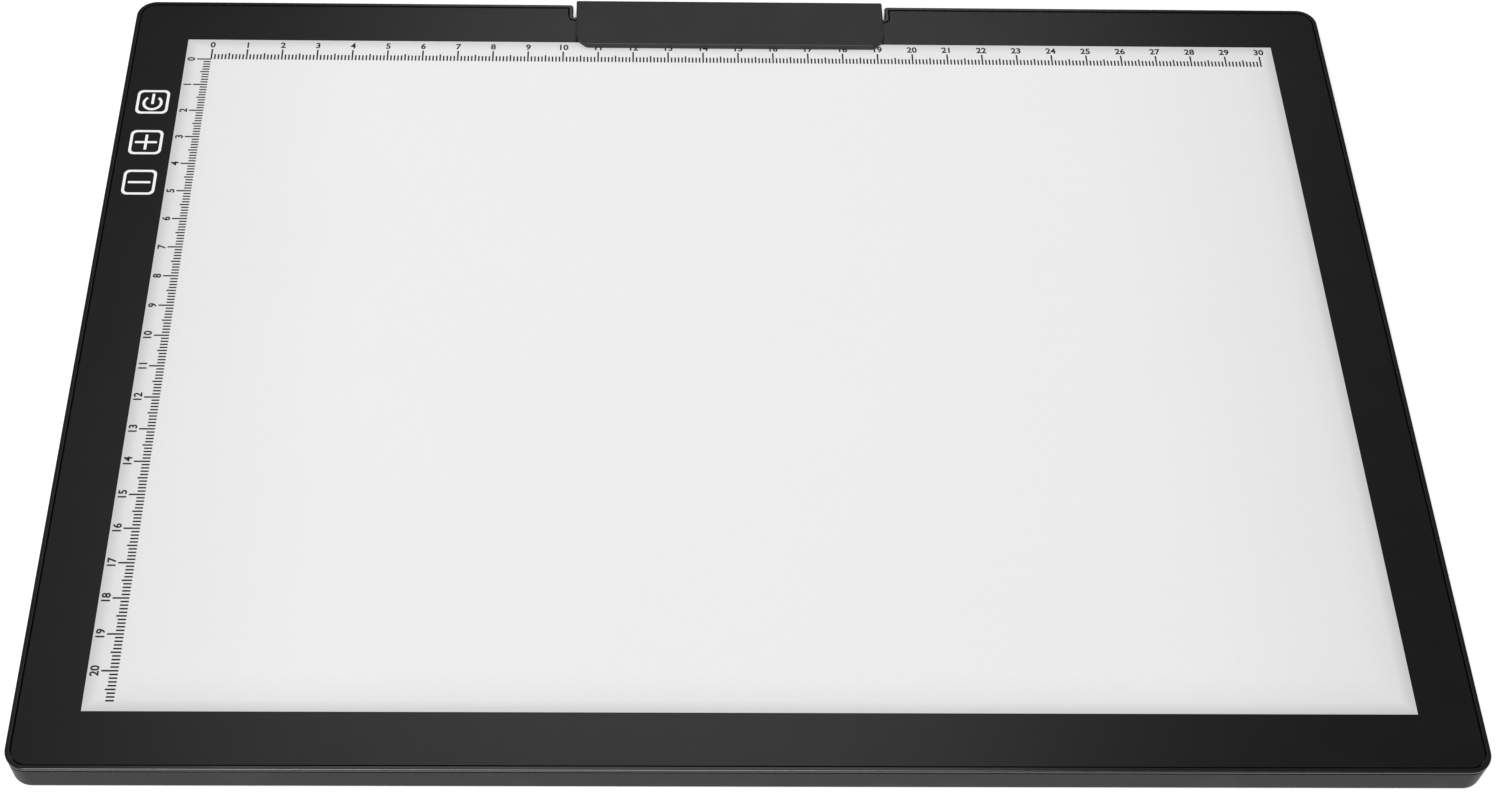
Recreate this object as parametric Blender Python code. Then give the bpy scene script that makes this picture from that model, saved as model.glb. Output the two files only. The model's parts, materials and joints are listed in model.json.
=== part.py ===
"""A4 LED tracing light box with a sprung paper clip hinged in its rear edge.

Metres, +Z up. The origin is the centre of the base, on the surface the feet stand on. +X runs along the
long front edge and +Y runs to the rear edge, where the clip is.
"""

import math

import bmesh
import bpy
from mathutils import Matrix, Vector

# Outline of the whole pad, seen from above
PAD_WIDTH = 0.3423
PAD_DEPTH = 0.2490
CORNER_RADIUS = 0.0055
NOTCH_WIDTH = 0.0904
NOTCH_DEPTH = 0.0050
NOTCH_LIP_RADIUS = 0.0010
NOTCH_ROOT_RADIUS = 0.0004
CORNER_STEPS = 6
NOTCH_STEPS = 2

# Heights above the surface it stands on
SHELL_BASE = 0.0010
FLOOR_TOP = 0.0022
RIB_TOP = 0.0047
REFLECTOR_BASE = 0.0050
REBATE_BASE = 0.0070
FRAME_BASE = 0.0073
LEDGE_TOP = 0.0078
SHELL_TOP = 0.0085
LIP_BASE = 0.0088
PANEL_TOP = 0.0096
FRAME_TOP = 0.0098

# Sides of the two shells, as insets from the outline of the rim's lip. The shell's wall thins to a
# rebate at its top, which the skirt of the frame sits inside.
SIDE_INSET = 0.00015
SIDE_DRAFT = 0.0002
BASE_ROUND = 0.0007
REBATE_INSET = 0.0005
SKIRT_INSET = 0.0008
LIP_ROUND = 0.0004

GAP = 0.0003
RIM_WIDTH = 0.0012
SHELL_WALL = 0.0016
FILM = 0.0002
PANEL_THICK = 0.0015
GUIDE_THICK = 0.0018
CUTTER_OVERRUN = 0.0010

# Ribs, locating pins and joining tabs inside the shells
RIB_THICK = 0.0012
LONG_RIB_Y = (-0.0850, -0.0350, 0.0080, 0.0980)
LONG_RIB_HALF = 0.1450
CROSS_RIBS = ((-0.0340, 0.0080), (0.0550, -0.0850), (0.1450, -0.0850))
LOCATING_PIN_Y = (0.0400, 0.0760)
LOCATING_PIN_RADIUS = 0.0012
TAB_BASE = 0.0056
TAB_HALF = 0.0060
TAB_THICK = 0.0010
TAB_INSET = 0.00375
FRONT_TAB_X = (-0.1100, -0.0300, 0.0300, 0.1100)
REAR_TAB_X = (-0.1250, 0.1250)
LEFT_TAB_Y = (-0.0700,)
RIGHT_TAB_Y = (-0.0700, 0.0600)

# The lit stack and the opening in the frame's ledge around it
STACK_HALF = Vector((0.1595, 0.1132))
LEDGE_HALF = Vector((0.1610, 0.1140))

# Light strips along the front and rear edges of the light guide
STRIP_LENGTH = 0.3040
STRIP_THICK = 0.0008
STRIP_HEIGHT = 0.0020
DIODE_RISE = 0.0004
LED_PITCH = 0.0152
LED_SIZE = Vector((0.0040, 0.0011, 0.0013))

# Control board, charging socket and battery
BOARD_X = (-0.1669, -0.1601)
BOARD_Y = (0.0140, 0.0960)
BOARD_BASE = 0.0049
BOARD_THICK = 0.0010
PLUG_BLOCK_LENGTH = 0.0070
PLUG_BLOCK_X = (-0.1650, -0.1607)
PLUG_BLOCK_BASE = 0.0029
CHIP_LOW = Vector((-0.1660, 0.0560, 0.0038))
CHIP_HIGH_XY = Vector((-0.1612, 0.0640))
KEY_WINDOW_X = (-0.1672, -0.1600)
KEY_WINDOW_Y = (0.0485, 0.0910)
LEAD_PLUG_Y = {"front": 0.0190, "battery": 0.0480, "rear": 0.0910}
KEY_Y = {"power": 0.0846, "plus": 0.0693, "minus": 0.0545}
KEY_PAD_X = -0.1633
KEY_PAD_SIDE = 0.0056
SOCKET_Y = 0.0300
SOCKET_Z = 0.0045
SOCKET_MOUTH = -0.1704
SOCKET_SIZE = Vector((0.0072, 0.0089, 0.0032))
SOCKET_WALL = 0.0003
TONGUE_HALF = Vector((0.0032, 0.00035))
INDICATOR_Y = 0.0200
INDICATOR_RADIUS = 0.0010
INDICATOR_LENGTH = 0.0028
BATTERY_LOW = Vector((-0.1300, 0.0250, 0.0025))
BATTERY_SIZE = Vector((0.0900, 0.0550, 0.0022))
LEAD_RADIUS = 0.0006

# Screws and feet
SIDE_SCREW_X = 0.1644
END_SCREW_Y = 0.1183
SCREWS = (
    ("front_left", -SIDE_SCREW_X, -END_SCREW_Y),
    ("front_mid_left", -0.0600, -END_SCREW_Y),
    ("front_mid_right", 0.0600, -END_SCREW_Y),
    ("front_right", SIDE_SCREW_X, -END_SCREW_Y),
    ("side_left", -SIDE_SCREW_X, -0.0200),
    ("side_right", SIDE_SCREW_X, -0.0200),
    ("rear_left", -SIDE_SCREW_X, END_SCREW_Y),
    ("rear_mid_left", -0.0700, END_SCREW_Y),
    ("rear_mid_right", 0.0700, END_SCREW_Y),
    ("rear_right", SIDE_SCREW_X, END_SCREW_Y),
)
SCREW_SHANK = 0.0009
SCREW_HEAD = 0.0021
SCREW_HEAD_THICK = 0.0010
SCREW_TIP = 0.0069
BOSS_RADIUS = 0.0036
TOWER_RADIUS = 0.0026
SEAT_HEIGHT = 0.0026
FOOT_PLACE = Vector((0.1500, 0.1050))
FOOT_RADIUS = 0.0050
FOOT_THICK = 0.0012

# Paper clip
CLIP_HALF = 0.0443
CLIP_FRONT = 0.1069
CLIP_CHAMFER = 0.0030
CLIP_FRONT_TOP = 0.0115
CLIP_REAR_TOP = 0.0121
CLIP_BASE = 0.0099
CLIP_UNDERSIDE = 0.0101
CLIP_RECESS_TOP = 0.0107
CLIP_REAR_ROUND = 0.0014
SKIRT_THICK = 0.0011
SKIRT_BASE = 0.0036
PAD_STRIP_Y = (0.1084, 0.1131)
PAD_STRIP_HALF = 0.0400
PAD_STRIP_THICK = 0.0005
AXIS_Y = 0.1216
AXIS_Z = 0.0048
BARREL_RADIUS = 0.0016
BARREL_HALF = 0.0330
END_WALL_INNER = 0.0428
HEEL_REACH = 0.00225
HEEL_THICK = 0.0016
HEEL_HALF = 0.0080
PIN_RADIUS = 0.0007
BORE_RADIUS = 0.00082
PIN_ENDS = (0.0280, 0.0503)
CHEEK_X = (0.0462, 0.0515)
CHEEK_Y = (0.1186, 0.1232)
SPRING_LEG = 0.0019
SPRING_TURNS = 5
SPRING_ENDS = (0.0350, 0.0410)
SPRING_COIL = 0.0012
WIRE_RADIUS = 0.0002


def clear_scene():
    for thing in list(bpy.data.objects):
        bpy.data.objects.remove(thing, do_unlink=True)


def material(name, colour, roughness, metallic=0.0):
    made = bpy.data.materials.new(name)
    made.use_nodes = True
    shader = made.node_tree.nodes["Principled BSDF"]
    shader.inputs["Base Color"].default_value = (*colour, 1.0)
    shader.inputs["Roughness"].default_value = roughness
    shader.inputs["Metallic"].default_value = metallic
    return made


def new_object(name, mesh_in_progress, surface=None):
    """Closes a bmesh into a named object; with no surface it is a hidden helper for a Boolean."""
    bmesh.ops.remove_doubles(mesh_in_progress, verts=mesh_in_progress.verts, dist=1e-7)
    bmesh.ops.recalc_face_normals(mesh_in_progress, faces=mesh_in_progress.faces)
    mesh = bpy.data.meshes.new(name)
    mesh_in_progress.to_mesh(mesh)
    mesh_in_progress.free()
    made = bpy.data.objects.new(name, mesh)
    bpy.context.scene.collection.objects.link(made)
    if surface:
        mesh.materials.append(surface)
    else:
        made.hide_render = True
        made.display_type = "WIRE"
    return made


def boolean(target, operation, helper):
    step = target.modifiers.new(f"{operation.lower()}_{helper.name}", "BOOLEAN")
    step.operation = operation
    step.solver = "EXACT"
    step.object = helper


def cut(target, helper):
    boolean(target, "DIFFERENCE", helper)


def join(target, helper):
    boolean(target, "UNION", helper)


def smooth(thing, angle=35.0):
    thing.data.shade_smooth()
    thing.data.set_sharp_from_angle(angle=math.radians(angle))


def rounded(corners):
    """Points of a closed outline whose corners (x, y, radius, steps) are turned into arcs."""
    points = []
    for index, (x, y, radius, steps) in enumerate(corners):
        corner = Vector((x, y))
        before = (Vector(corners[index - 1][:2]) - corner).normalized()
        after = (Vector(corners[(index + 1) % len(corners)][:2]) - corner).normalized()
        reach = radius / math.tan(before.angle(after) / 2)
        centre = corner + (before + after).normalized() * math.hypot(reach, radius)
        start = corner + before * reach - centre
        turn = start.angle_signed(corner + after * reach - centre)
        for step in range(steps + 1):
            points.append(centre + Matrix.Rotation(-turn * step / steps, 2) @ start)
    return points


def pad_outline(inset):
    """The pad's outline with its rear notch, moved inwards all round."""
    x = PAD_WIDTH / 2 - inset
    y = PAD_DEPTH / 2 - inset
    notch_x = NOTCH_WIDTH / 2 + inset
    notch_y = PAD_DEPTH / 2 - NOTCH_DEPTH - inset
    outer = CORNER_RADIUS - inset
    lip = max(NOTCH_LIP_RADIUS - inset / 2, NOTCH_ROOT_RADIUS)
    root = NOTCH_ROOT_RADIUS + inset
    return rounded([
        (-x, -y, outer, CORNER_STEPS), (x, -y, outer, CORNER_STEPS), (x, y, outer, CORNER_STEPS),
        (notch_x, y, lip, NOTCH_STEPS), (notch_x, notch_y, root, NOTCH_STEPS),
        (-notch_x, notch_y, root, NOTCH_STEPS), (-notch_x, y, lip, NOTCH_STEPS), (-x, y, outer, CORNER_STEPS),
    ])


def add_loft(bm, loops):
    """A closed solid through loops of points that all have the same count."""
    rings = [[bm.verts.new(point) for point in loop] for loop in loops]
    for lower, upper in zip(rings, rings[1:]):
        for index in range(len(lower)):
            bm.faces.new((lower[index - 1], lower[index], upper[index], upper[index - 1]))
    bm.faces.new(rings[0])
    bm.faces.new(rings[-1])


def pad_solid(name, levels, surface=None):
    """A solid with the pad's outline, through (inset, height) levels from the bottom up."""
    bm = bmesh.new()
    add_loft(bm, [[(*point, height) for point in pad_outline(inset)] for inset, height in levels])
    return new_object(name, bm, surface)


def add_box(bm, low, high):
    size = Vector(high) - Vector(low)
    centre = (Vector(high) + Vector(low)) / 2
    bmesh.ops.create_cube(bm, size=1.0, matrix=Matrix.Translation(centre) @ Matrix.Diagonal((*size, 1.0)))


def box(name, low, high, surface=None):
    bm = bmesh.new()
    add_box(bm, low, high)
    return new_object(name, bm, surface)


def add_turned(bm, place, profile, steps=12):
    """A solid turned about a vertical axis at place, through (radius, height) rings from the bottom up."""
    loops = []
    for radius, height in profile:
        angles = [math.tau * step / steps for step in range(steps)]
        loops.append([
            (place[0] + radius * math.cos(a), place[1] + radius * math.sin(a), height) for a in angles
        ])
    add_loft(bm, loops)


def add_rod(bm, x_ends, radius, steps=16):
    """A round rod along X on the clip's hinge axis."""
    angles = [math.tau * step / steps for step in range(steps)]
    ring = [(AXIS_Y + radius * math.cos(a), AXIS_Z + radius * math.sin(a)) for a in angles]
    add_loft(bm, [[(x, *point) for point in ring] for x in x_ends])


def add_extrusion(bm, profile, x_low, x_high):
    """A profile of (y, z) points carried along X."""
    add_loft(bm, [[(x, *point) for point in profile] for x in (x_low, x_high)])


def both_sides(x_ends):
    """The same stretch of X on the right and on the left."""
    low, high = x_ends
    return (low, high), (-high, -low)


def make_lower_shell(black):
    low_inset = SIDE_INSET + SIDE_DRAFT
    shell = pad_solid("lower_shell", [
        (low_inset + BASE_ROUND, SHELL_BASE), (low_inset + BASE_ROUND * 0.25, SHELL_BASE + BASE_ROUND * 0.3),
        (low_inset, SHELL_BASE + BASE_ROUND), (SIDE_INSET, SHELL_TOP),
    ], black)
    inner = pad_solid("shell_hollow", [
        (low_inset + SHELL_WALL, FLOOR_TOP), (SIDE_INSET + SHELL_WALL, SHELL_TOP + CUTTER_OVERRUN),
    ])
    cut(shell, inner)
    cut(shell, pad_solid("rebate", [(REBATE_INSET, REBATE_BASE), (REBATE_INSET, SHELL_TOP + CUTTER_OVERRUN)]))

    ribs = bmesh.new()
    for y in LONG_RIB_Y:
        add_box(ribs, (-LONG_RIB_HALF, y, FLOOR_TOP - GAP), (LONG_RIB_HALF, y + RIB_THICK, RIB_TOP))
    join(shell, new_object("long_ribs", ribs))
    ribs = bmesh.new()
    for x, y in CROSS_RIBS:
        add_box(ribs, (x, y, FLOOR_TOP - GAP), (x + RIB_THICK, LONG_RIB_Y[-1] + RIB_THICK, RIB_TOP))
    join(shell, new_object("cross_ribs", ribs))

    bosses = bmesh.new()
    for _, x, y in SCREWS:
        add_turned(bosses, (x, y), [(BOSS_RADIUS, FLOOR_TOP - GAP), (BOSS_RADIUS, RIB_TOP)])
    for y in LOCATING_PIN_Y:
        add_turned(bosses, (KEY_PAD_X, y), [
            (LOCATING_PIN_RADIUS, FLOOR_TOP - GAP), (LOCATING_PIN_RADIUS, BOARD_BASE - GAP),
        ], 8)
    join(shell, new_object("screw_bosses", bosses))

    cheeks = bmesh.new()
    for x_low, x_high in both_sides(CHEEK_X):
        add_box(cheeks, (x_low, CHEEK_Y[0], FLOOR_TOP - GAP), (x_high, CHEEK_Y[1], REBATE_BASE - GAP))
    join(shell, new_object("hinge_cheeks", cheeks))

    holes = bmesh.new()
    for _, x, y in SCREWS:
        add_turned(holes, (x, y), [
            (SCREW_HEAD + GAP, 0.0), (SCREW_HEAD + GAP, SEAT_HEIGHT),
            (SCREW_SHANK + GAP, SEAT_HEIGHT), (SCREW_SHANK + GAP, REBATE_BASE),
        ])
    for sign_x, sign_y in ((-1, -1), (1, -1), (-1, 1), (1, 1)):
        add_turned(holes, (sign_x * FOOT_PLACE.x, sign_y * FOOT_PLACE.y), [
            (FOOT_RADIUS + GAP, 0.0), (FOOT_RADIUS + GAP, FOOT_THICK + GAP),
        ], 24)
    for x_ends in both_sides((CLIP_HALF - GAP, PIN_ENDS[1] + GAP)):
        add_rod(holes, x_ends, BORE_RADIUS)
    cut(shell, new_object("screw_foot_and_pin_holes", holes))

    ports = bmesh.new()
    half = SOCKET_SIZE / 2
    outside = -PAD_WIDTH / 2 - CUTTER_OVERRUN
    inside = BOARD_X[0]
    add_box(ports, (outside, SOCKET_Y - half.y - GAP, SOCKET_Z - half.z - GAP),
            (inside, SOCKET_Y + half.y + GAP, SOCKET_Z + half.z + GAP))
    add_box(ports, (outside, INDICATOR_Y - INDICATOR_RADIUS - GAP, SOCKET_Z - INDICATOR_RADIUS - GAP),
            (inside, INDICATOR_Y + INDICATOR_RADIUS + GAP, SOCKET_Z + INDICATOR_RADIUS + GAP))
    cut(shell, new_object("side_ports", ports))


def make_top_frame(black):
    frame = pad_solid("top_frame", [
        (SKIRT_INSET, FRAME_BASE), (SKIRT_INSET, LIP_BASE), (0.0, LIP_BASE), (0.0, FRAME_TOP - LIP_ROUND),
        (LIP_ROUND * 0.3, FRAME_TOP - LIP_ROUND * 0.3), (LIP_ROUND, FRAME_TOP),
    ], black)
    cut(frame, pad_solid("panel_pocket", [(RIM_WIDTH, LEDGE_TOP), (RIM_WIDTH, FRAME_TOP + CUTTER_OVERRUN)]))
    below = FRAME_BASE - CUTTER_OVERRUN
    cut(frame, box("ledge_opening", (*-LEDGE_HALF, below), (*LEDGE_HALF, FRAME_TOP)))
    cut(frame, box("key_window", (KEY_WINDOW_X[0], KEY_WINDOW_Y[0], below),
                   (KEY_WINDOW_X[1], KEY_WINDOW_Y[1], FRAME_TOP)))

    towers = bmesh.new()
    for _, x, y in SCREWS:
        add_turned(towers, (x, y), [(TOWER_RADIUS, REFLECTOR_BASE), (TOWER_RADIUS, FRAME_BASE + GAP)])
    tab_x = PAD_WIDTH / 2 - TAB_INSET
    tab_y = PAD_DEPTH / 2 - TAB_INSET
    for places, y in ((FRONT_TAB_X, -tab_y - TAB_THICK), (REAR_TAB_X, tab_y)):
        for x in places:
            add_box(towers, (x - TAB_HALF, y, TAB_BASE), (x + TAB_HALF, y + TAB_THICK, FRAME_BASE + GAP))
    for places, x in ((LEFT_TAB_Y, -tab_x - TAB_THICK), (RIGHT_TAB_Y, tab_x)):
        for y in places:
            add_box(towers, (x, y - TAB_HALF, TAB_BASE), (x + TAB_THICK, y + TAB_HALF, FRAME_BASE + GAP))
    join(frame, new_object("screw_towers_and_tabs", towers))

    pilots = bmesh.new()
    for _, x, y in SCREWS:
        add_turned(pilots, (x, y), [
            (SCREW_SHANK + GAP, REFLECTOR_BASE - CUTTER_OVERRUN), (SCREW_SHANK + GAP, SCREW_TIP + GAP),
        ], 8)
    cut(frame, new_object("screw_pilots", pilots))


def make_panel_and_stack(panel_white, clear, film_white):
    inset = RIM_WIDTH + GAP
    pad_solid("drawing_panel", [
        (inset, PANEL_TOP - PANEL_THICK), (inset, PANEL_TOP - 0.00015), (inset + 0.00015, PANEL_TOP),
    ], panel_white)
    guide_base = REFLECTOR_BASE + FILM + GAP
    film_base = guide_base + GUIDE_THICK + GAP
    for name, base, thick, surface in (
        ("reflector_sheet", REFLECTOR_BASE, FILM, film_white),
        ("light_guide", guide_base, GUIDE_THICK, clear),
        ("diffuser_film", film_base, FILM, film_white),
    ):
        box(name, (*-STACK_HALF, base), (*STACK_HALF, base + thick), surface)


def make_light_strips(board_white):
    """Each strip is a narrow board on edge, with its row of diodes against the light guide."""
    base = REFLECTOR_BASE
    count = int(STRIP_LENGTH / LED_PITCH)
    for name, side in (("led_strip_front", -1), ("led_strip_rear", 1)):
        diode_face = STACK_HALF.y + GAP
        board_face = diode_face + LED_SIZE.y
        ends = sorted((side * board_face, side * (board_face + STRIP_THICK)))
        strip = box(name, (-STRIP_LENGTH / 2, ends[0], base),
                    (STRIP_LENGTH / 2, ends[1], base + STRIP_HEIGHT), board_white)
        diodes = bmesh.new()
        for index in range(count):
            x = (index - (count - 1) / 2) * LED_PITCH
            near, far = sorted((side * diode_face, side * (board_face + STRIP_THICK / 2)))
            add_box(diodes, (x - LED_SIZE.x / 2, near, base + DIODE_RISE),
                    (x + LED_SIZE.x / 2, far, base + DIODE_RISE + LED_SIZE.z))
        join(strip, new_object(f"{name}_diodes", diodes))


def make_control_board(green, foam):
    top = BOARD_BASE + BOARD_THICK
    board = box("control_board", (BOARD_X[0], BOARD_Y[0], BOARD_BASE), (BOARD_X[1], BOARD_Y[1], top), green)
    chips = bmesh.new()
    for y in LEAD_PLUG_Y.values():
        half = PLUG_BLOCK_LENGTH / 2
        add_box(chips, (PLUG_BLOCK_X[0], y - half, PLUG_BLOCK_BASE),
                (PLUG_BLOCK_X[1], y + half, BOARD_BASE + GAP))
    add_box(chips, CHIP_LOW, (*CHIP_HIGH_XY, BOARD_BASE + GAP))
    join(board, new_object("board_plugs_and_chip", chips))
    half = SOCKET_SIZE / 2
    cut(board, box("socket_cutout", (SOCKET_MOUTH, SOCKET_Y - half.y - GAP, BOARD_BASE - CUTTER_OVERRUN),
                   (SOCKET_MOUTH + SOCKET_SIZE.x + GAP, SOCKET_Y + half.y + GAP, top + CUTTER_OVERRUN)))
    half_pad = KEY_PAD_SIDE / 2
    for name, y in KEY_Y.items():
        box(f"touch_pad_{name}", (KEY_PAD_X - half_pad, y - half_pad, top + GAP),
            (KEY_PAD_X + half_pad, y + half_pad, PANEL_TOP - PANEL_THICK - GAP), foam)


def socket_section(size_y, size_z):
    """The socket's flat oval from its mouth, as (y, z) points."""
    corners = [(sign_y * size_y / 2, sign_z * size_z / 2, size_z / 2 - 0.0001, 5)
               for sign_y, sign_z in ((-1, -1), (1, -1), (1, 1), (-1, 1))]
    return [(SOCKET_Y + point.x, SOCKET_Z + point.y) for point in rounded(corners)]


def make_charging_parts(steel, clear):
    mouth = SOCKET_MOUTH
    back = mouth + SOCKET_SIZE.x
    bm = bmesh.new()
    add_extrusion(bm, socket_section(SOCKET_SIZE.y, SOCKET_SIZE.z), mouth, back)
    socket = new_object("usb_socket", bm, steel)
    bm = bmesh.new()
    add_extrusion(bm, socket_section(SOCKET_SIZE.y - 2 * SOCKET_WALL, SOCKET_SIZE.z - 2 * SOCKET_WALL),
                  mouth - 0.001, back - 0.0008)
    cut(socket, new_object("socket_mouth", bm))
    join(socket, box("socket_tongue",
                     (mouth + 0.0008, SOCKET_Y - TONGUE_HALF.x, SOCKET_Z - TONGUE_HALF.y),
                     (back - 0.0004, SOCKET_Y + TONGUE_HALF.x, SOCKET_Z + TONGUE_HALF.y)))
    smooth(socket)

    bm = bmesh.new()
    add_turned(bm, (0.0, 0.0), [(INDICATOR_RADIUS, 0.0), (INDICATOR_RADIUS, INDICATOR_LENGTH)])
    pipe = new_object("charge_indicator", bm, clear)
    pipe.data.transform(Matrix.Rotation(math.radians(90), 4, "Y"))
    pipe.location = (mouth - 0.0001, INDICATOR_Y, SOCKET_Z)
    smooth(pipe)


def make_battery(silver):
    cell = box("battery_cell", BATTERY_LOW, BATTERY_LOW + BATTERY_SIZE, silver)
    edge = cell.modifiers.new("soft_edge", "BEVEL")
    edge.width = 0.0006
    edge.segments = 2


def make_lead(name, points, rubber):
    """A wire lead laid in the shell, smoothed through its points."""
    route = [Vector(point) for point in points]
    smoothed = []
    for index in range(len(route) - 1):
        before = route[max(index - 1, 0)]
        start = route[index]
        end = route[index + 1]
        after = route[min(index + 2, len(route) - 1)]
        for step in range(4):
            t = step / 4
            smoothed.append(0.5 * (2 * start + (end - before) * t
                                   + (2 * before - 5 * start + 4 * end - after) * t * t
                                   + (3 * start - before - 3 * end + after) * t ** 3))
    smoothed.append(route[-1])
    curve = bpy.data.curves.new(name, "CURVE")
    curve.dimensions = "3D"
    curve.bevel_depth = LEAD_RADIUS
    curve.bevel_resolution = 1
    curve.use_fill_caps = True
    spline = curve.splines.new("POLY")
    spline.points.add(len(smoothed) - 1)
    for point, place in zip(spline.points, smoothed):
        point.co = (*place, 1.0)
    curve.materials.append(rubber)
    lead = bpy.data.objects.new(name, curve)
    bpy.context.scene.collection.objects.link(lead)


def make_leads(rubber):
    run = 0.0037
    start = PLUG_BLOCK_X[1] + GAP
    strip_end = -STRIP_LENGTH / 2 - GAP
    strip_y = STACK_HALF.y + GAP + LED_SIZE.y + STRIP_THICK / 2
    strip_z = REFLECTOR_BASE + 0.0010
    cell_edge = BATTERY_LOW.x - GAP
    make_lead("battery_lead", [
        (cell_edge, 0.0520, run), (-0.1380, 0.0520, run), (-0.1460, 0.0495, run),
        (-0.1540, LEAD_PLUG_Y["battery"], run), (start, LEAD_PLUG_Y["battery"], run),
    ], rubber)
    for name, y_plug, side in (("led_lead_rear", "rear", 1), ("led_lead_front", "front", -1)):
        y = LEAD_PLUG_Y[y_plug]
        make_lead(name, [
            (start, y, run), (-0.1575, y + side * 0.002, run), (-0.1562, y + side * 0.008, run),
            (-0.1562, side * 0.1060, run), (-0.1562, side * 0.1115, run + 0.0001),
            (-0.1558, side * 0.1142, run + 0.0007), (-0.1550, side * strip_y, strip_z - 0.0004),
            (-0.1538, side * strip_y, strip_z), (strip_end, side * strip_y, strip_z),
        ], rubber)


def make_feet(rubber):
    for name, sign_x, sign_y in (
        ("foot_front_left", -1, -1), ("foot_front_right", 1, -1),
        ("foot_rear_left", -1, 1), ("foot_rear_right", 1, 1),
    ):
        bm = bmesh.new()
        add_turned(bm, (0.0, 0.0), [
            (FOOT_RADIUS - 0.0003, 0.0), (FOOT_RADIUS, 0.0003), (FOOT_RADIUS, FOOT_THICK),
        ], 24)
        foot = new_object(name, bm, rubber)
        foot.location = (sign_x * FOOT_PLACE.x, sign_y * FOOT_PLACE.y, 0.0)
        smooth(foot)


def make_screws(steel):
    head_base = SEAT_HEIGHT - GAP - SCREW_HEAD_THICK
    for name, x, y in SCREWS:
        bm = bmesh.new()
        add_turned(bm, (0.0, 0.0), [
            (SCREW_HEAD * 0.8, head_base), (SCREW_HEAD, head_base + 0.0004),
            (SCREW_HEAD, head_base + SCREW_HEAD_THICK),
            (SCREW_SHANK, head_base + SCREW_HEAD_THICK), (SCREW_SHANK, SCREW_TIP),
        ], 12)
        screw = new_object(f"shell_screw_{name}", bm, steel)
        slots = bmesh.new()
        add_box(slots, (-0.0012, -0.00025, 0.0), (0.0012, 0.00025, head_base + 0.0006))
        cut(screw, new_object(f"{name}_slot_along", slots))
        slots = bmesh.new()
        add_box(slots, (-0.00025, -0.0012, 0.0), (0.00025, 0.0012, head_base + 0.0006))
        cut(screw, new_object(f"{name}_slot_across", slots))
        for helper in (f"{name}_slot_along", f"{name}_slot_across"):
            bpy.data.objects[helper].location = (x, y, 0.0)
        screw.location = (x, y, 0.0)
        smooth(screw)


def barrel_profile():
    """The hinge barrel with the web that joins it to the plate above, from the side."""
    steps = 10
    round_part = [
        (AXIS_Y - BARREL_RADIUS * math.cos(math.pi * step / steps),
         AXIS_Z - BARREL_RADIUS * math.sin(math.pi * step / steps))
        for step in range(steps + 1)
    ]
    rear = PAD_DEPTH / 2 - SKIRT_THICK / 2
    return [*round_part, (rear, AXIS_Z), (rear, CLIP_UNDERSIDE + GAP),
            (AXIS_Y - BARREL_RADIUS, CLIP_UNDERSIDE + GAP)]


def clip_profile():
    """The clip's plate and rear skirt from the side, with the recess for the grip strip."""
    rear = PAD_DEPTH / 2
    recess_front = PAD_STRIP_Y[0] - GAP
    recess_rear = PAD_STRIP_Y[1] + GAP
    return [
        (CLIP_FRONT, CLIP_BASE), (CLIP_FRONT, CLIP_FRONT_TOP - 0.0003),
        (CLIP_FRONT + 0.00035, CLIP_FRONT_TOP), (rear - CLIP_REAR_ROUND, CLIP_REAR_TOP),
        *[(rear - CLIP_REAR_ROUND * (1 - math.sin(math.radians(angle))),
           CLIP_REAR_TOP - CLIP_REAR_ROUND * (1 - math.cos(math.radians(angle))))
          for angle in (22.5, 45.0, 67.5, 90.0)],
        (rear, SKIRT_BASE), (rear - SKIRT_THICK, SKIRT_BASE), (rear - SKIRT_THICK, CLIP_UNDERSIDE),
        (recess_rear, CLIP_UNDERSIDE), (recess_rear, CLIP_RECESS_TOP),
        (recess_front, CLIP_RECESS_TOP), (recess_front, CLIP_BASE),
    ]


def make_clip(black, rubber, pivot):
    bm = bmesh.new()
    add_extrusion(bm, clip_profile(), -CLIP_HALF, CLIP_HALF)
    clip = new_object("clip_bar", bm, black)
    webs = bmesh.new()
    add_extrusion(webs, barrel_profile(), -BARREL_HALF, BARREL_HALF)
    for x_ends in both_sides((END_WALL_INNER, CLIP_HALF)):
        add_extrusion(webs, barrel_profile(), *x_ends)
    join(clip, new_object("clip_webs", webs))
    join(clip, box("stop_heel", (-HEEL_HALF, AXIS_Y - HEEL_THICK / 2, AXIS_Z - HEEL_REACH),
                   (HEEL_HALF, AXIS_Y + HEEL_THICK / 2, AXIS_Z)))

    close_ends = bmesh.new()
    for side in (-1, 1):
        corner = [(side * (CLIP_HALF + 0.001), CLIP_FRONT - 0.001),
                  (side * (CLIP_HALF + 0.001), CLIP_FRONT + CLIP_CHAMFER + 0.001),
                  (side * (CLIP_HALF - CLIP_CHAMFER - 0.001), CLIP_FRONT - 0.001)]
        add_loft(close_ends, [[(*point, height) for point in corner] for height in (0.009, 0.013)])
    cut(clip, new_object("front_corner_cutters", close_ends))
    bores = bmesh.new()
    for x_ends in both_sides((PIN_ENDS[0] - GAP, CLIP_HALF + 0.001)):
        add_rod(bores, x_ends, BORE_RADIUS)
    cut(clip, new_object("clip_bores", bores))
    strip = box("clip_grip_strip", (-PAD_STRIP_HALF, PAD_STRIP_Y[0], CLIP_BASE),
                (PAD_STRIP_HALF, PAD_STRIP_Y[1], CLIP_BASE + PAD_STRIP_THICK), rubber)
    for piece in (clip, strip):
        piece.parent = pivot
        piece.matrix_parent_inverse = pivot.matrix_world.inverted()


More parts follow.
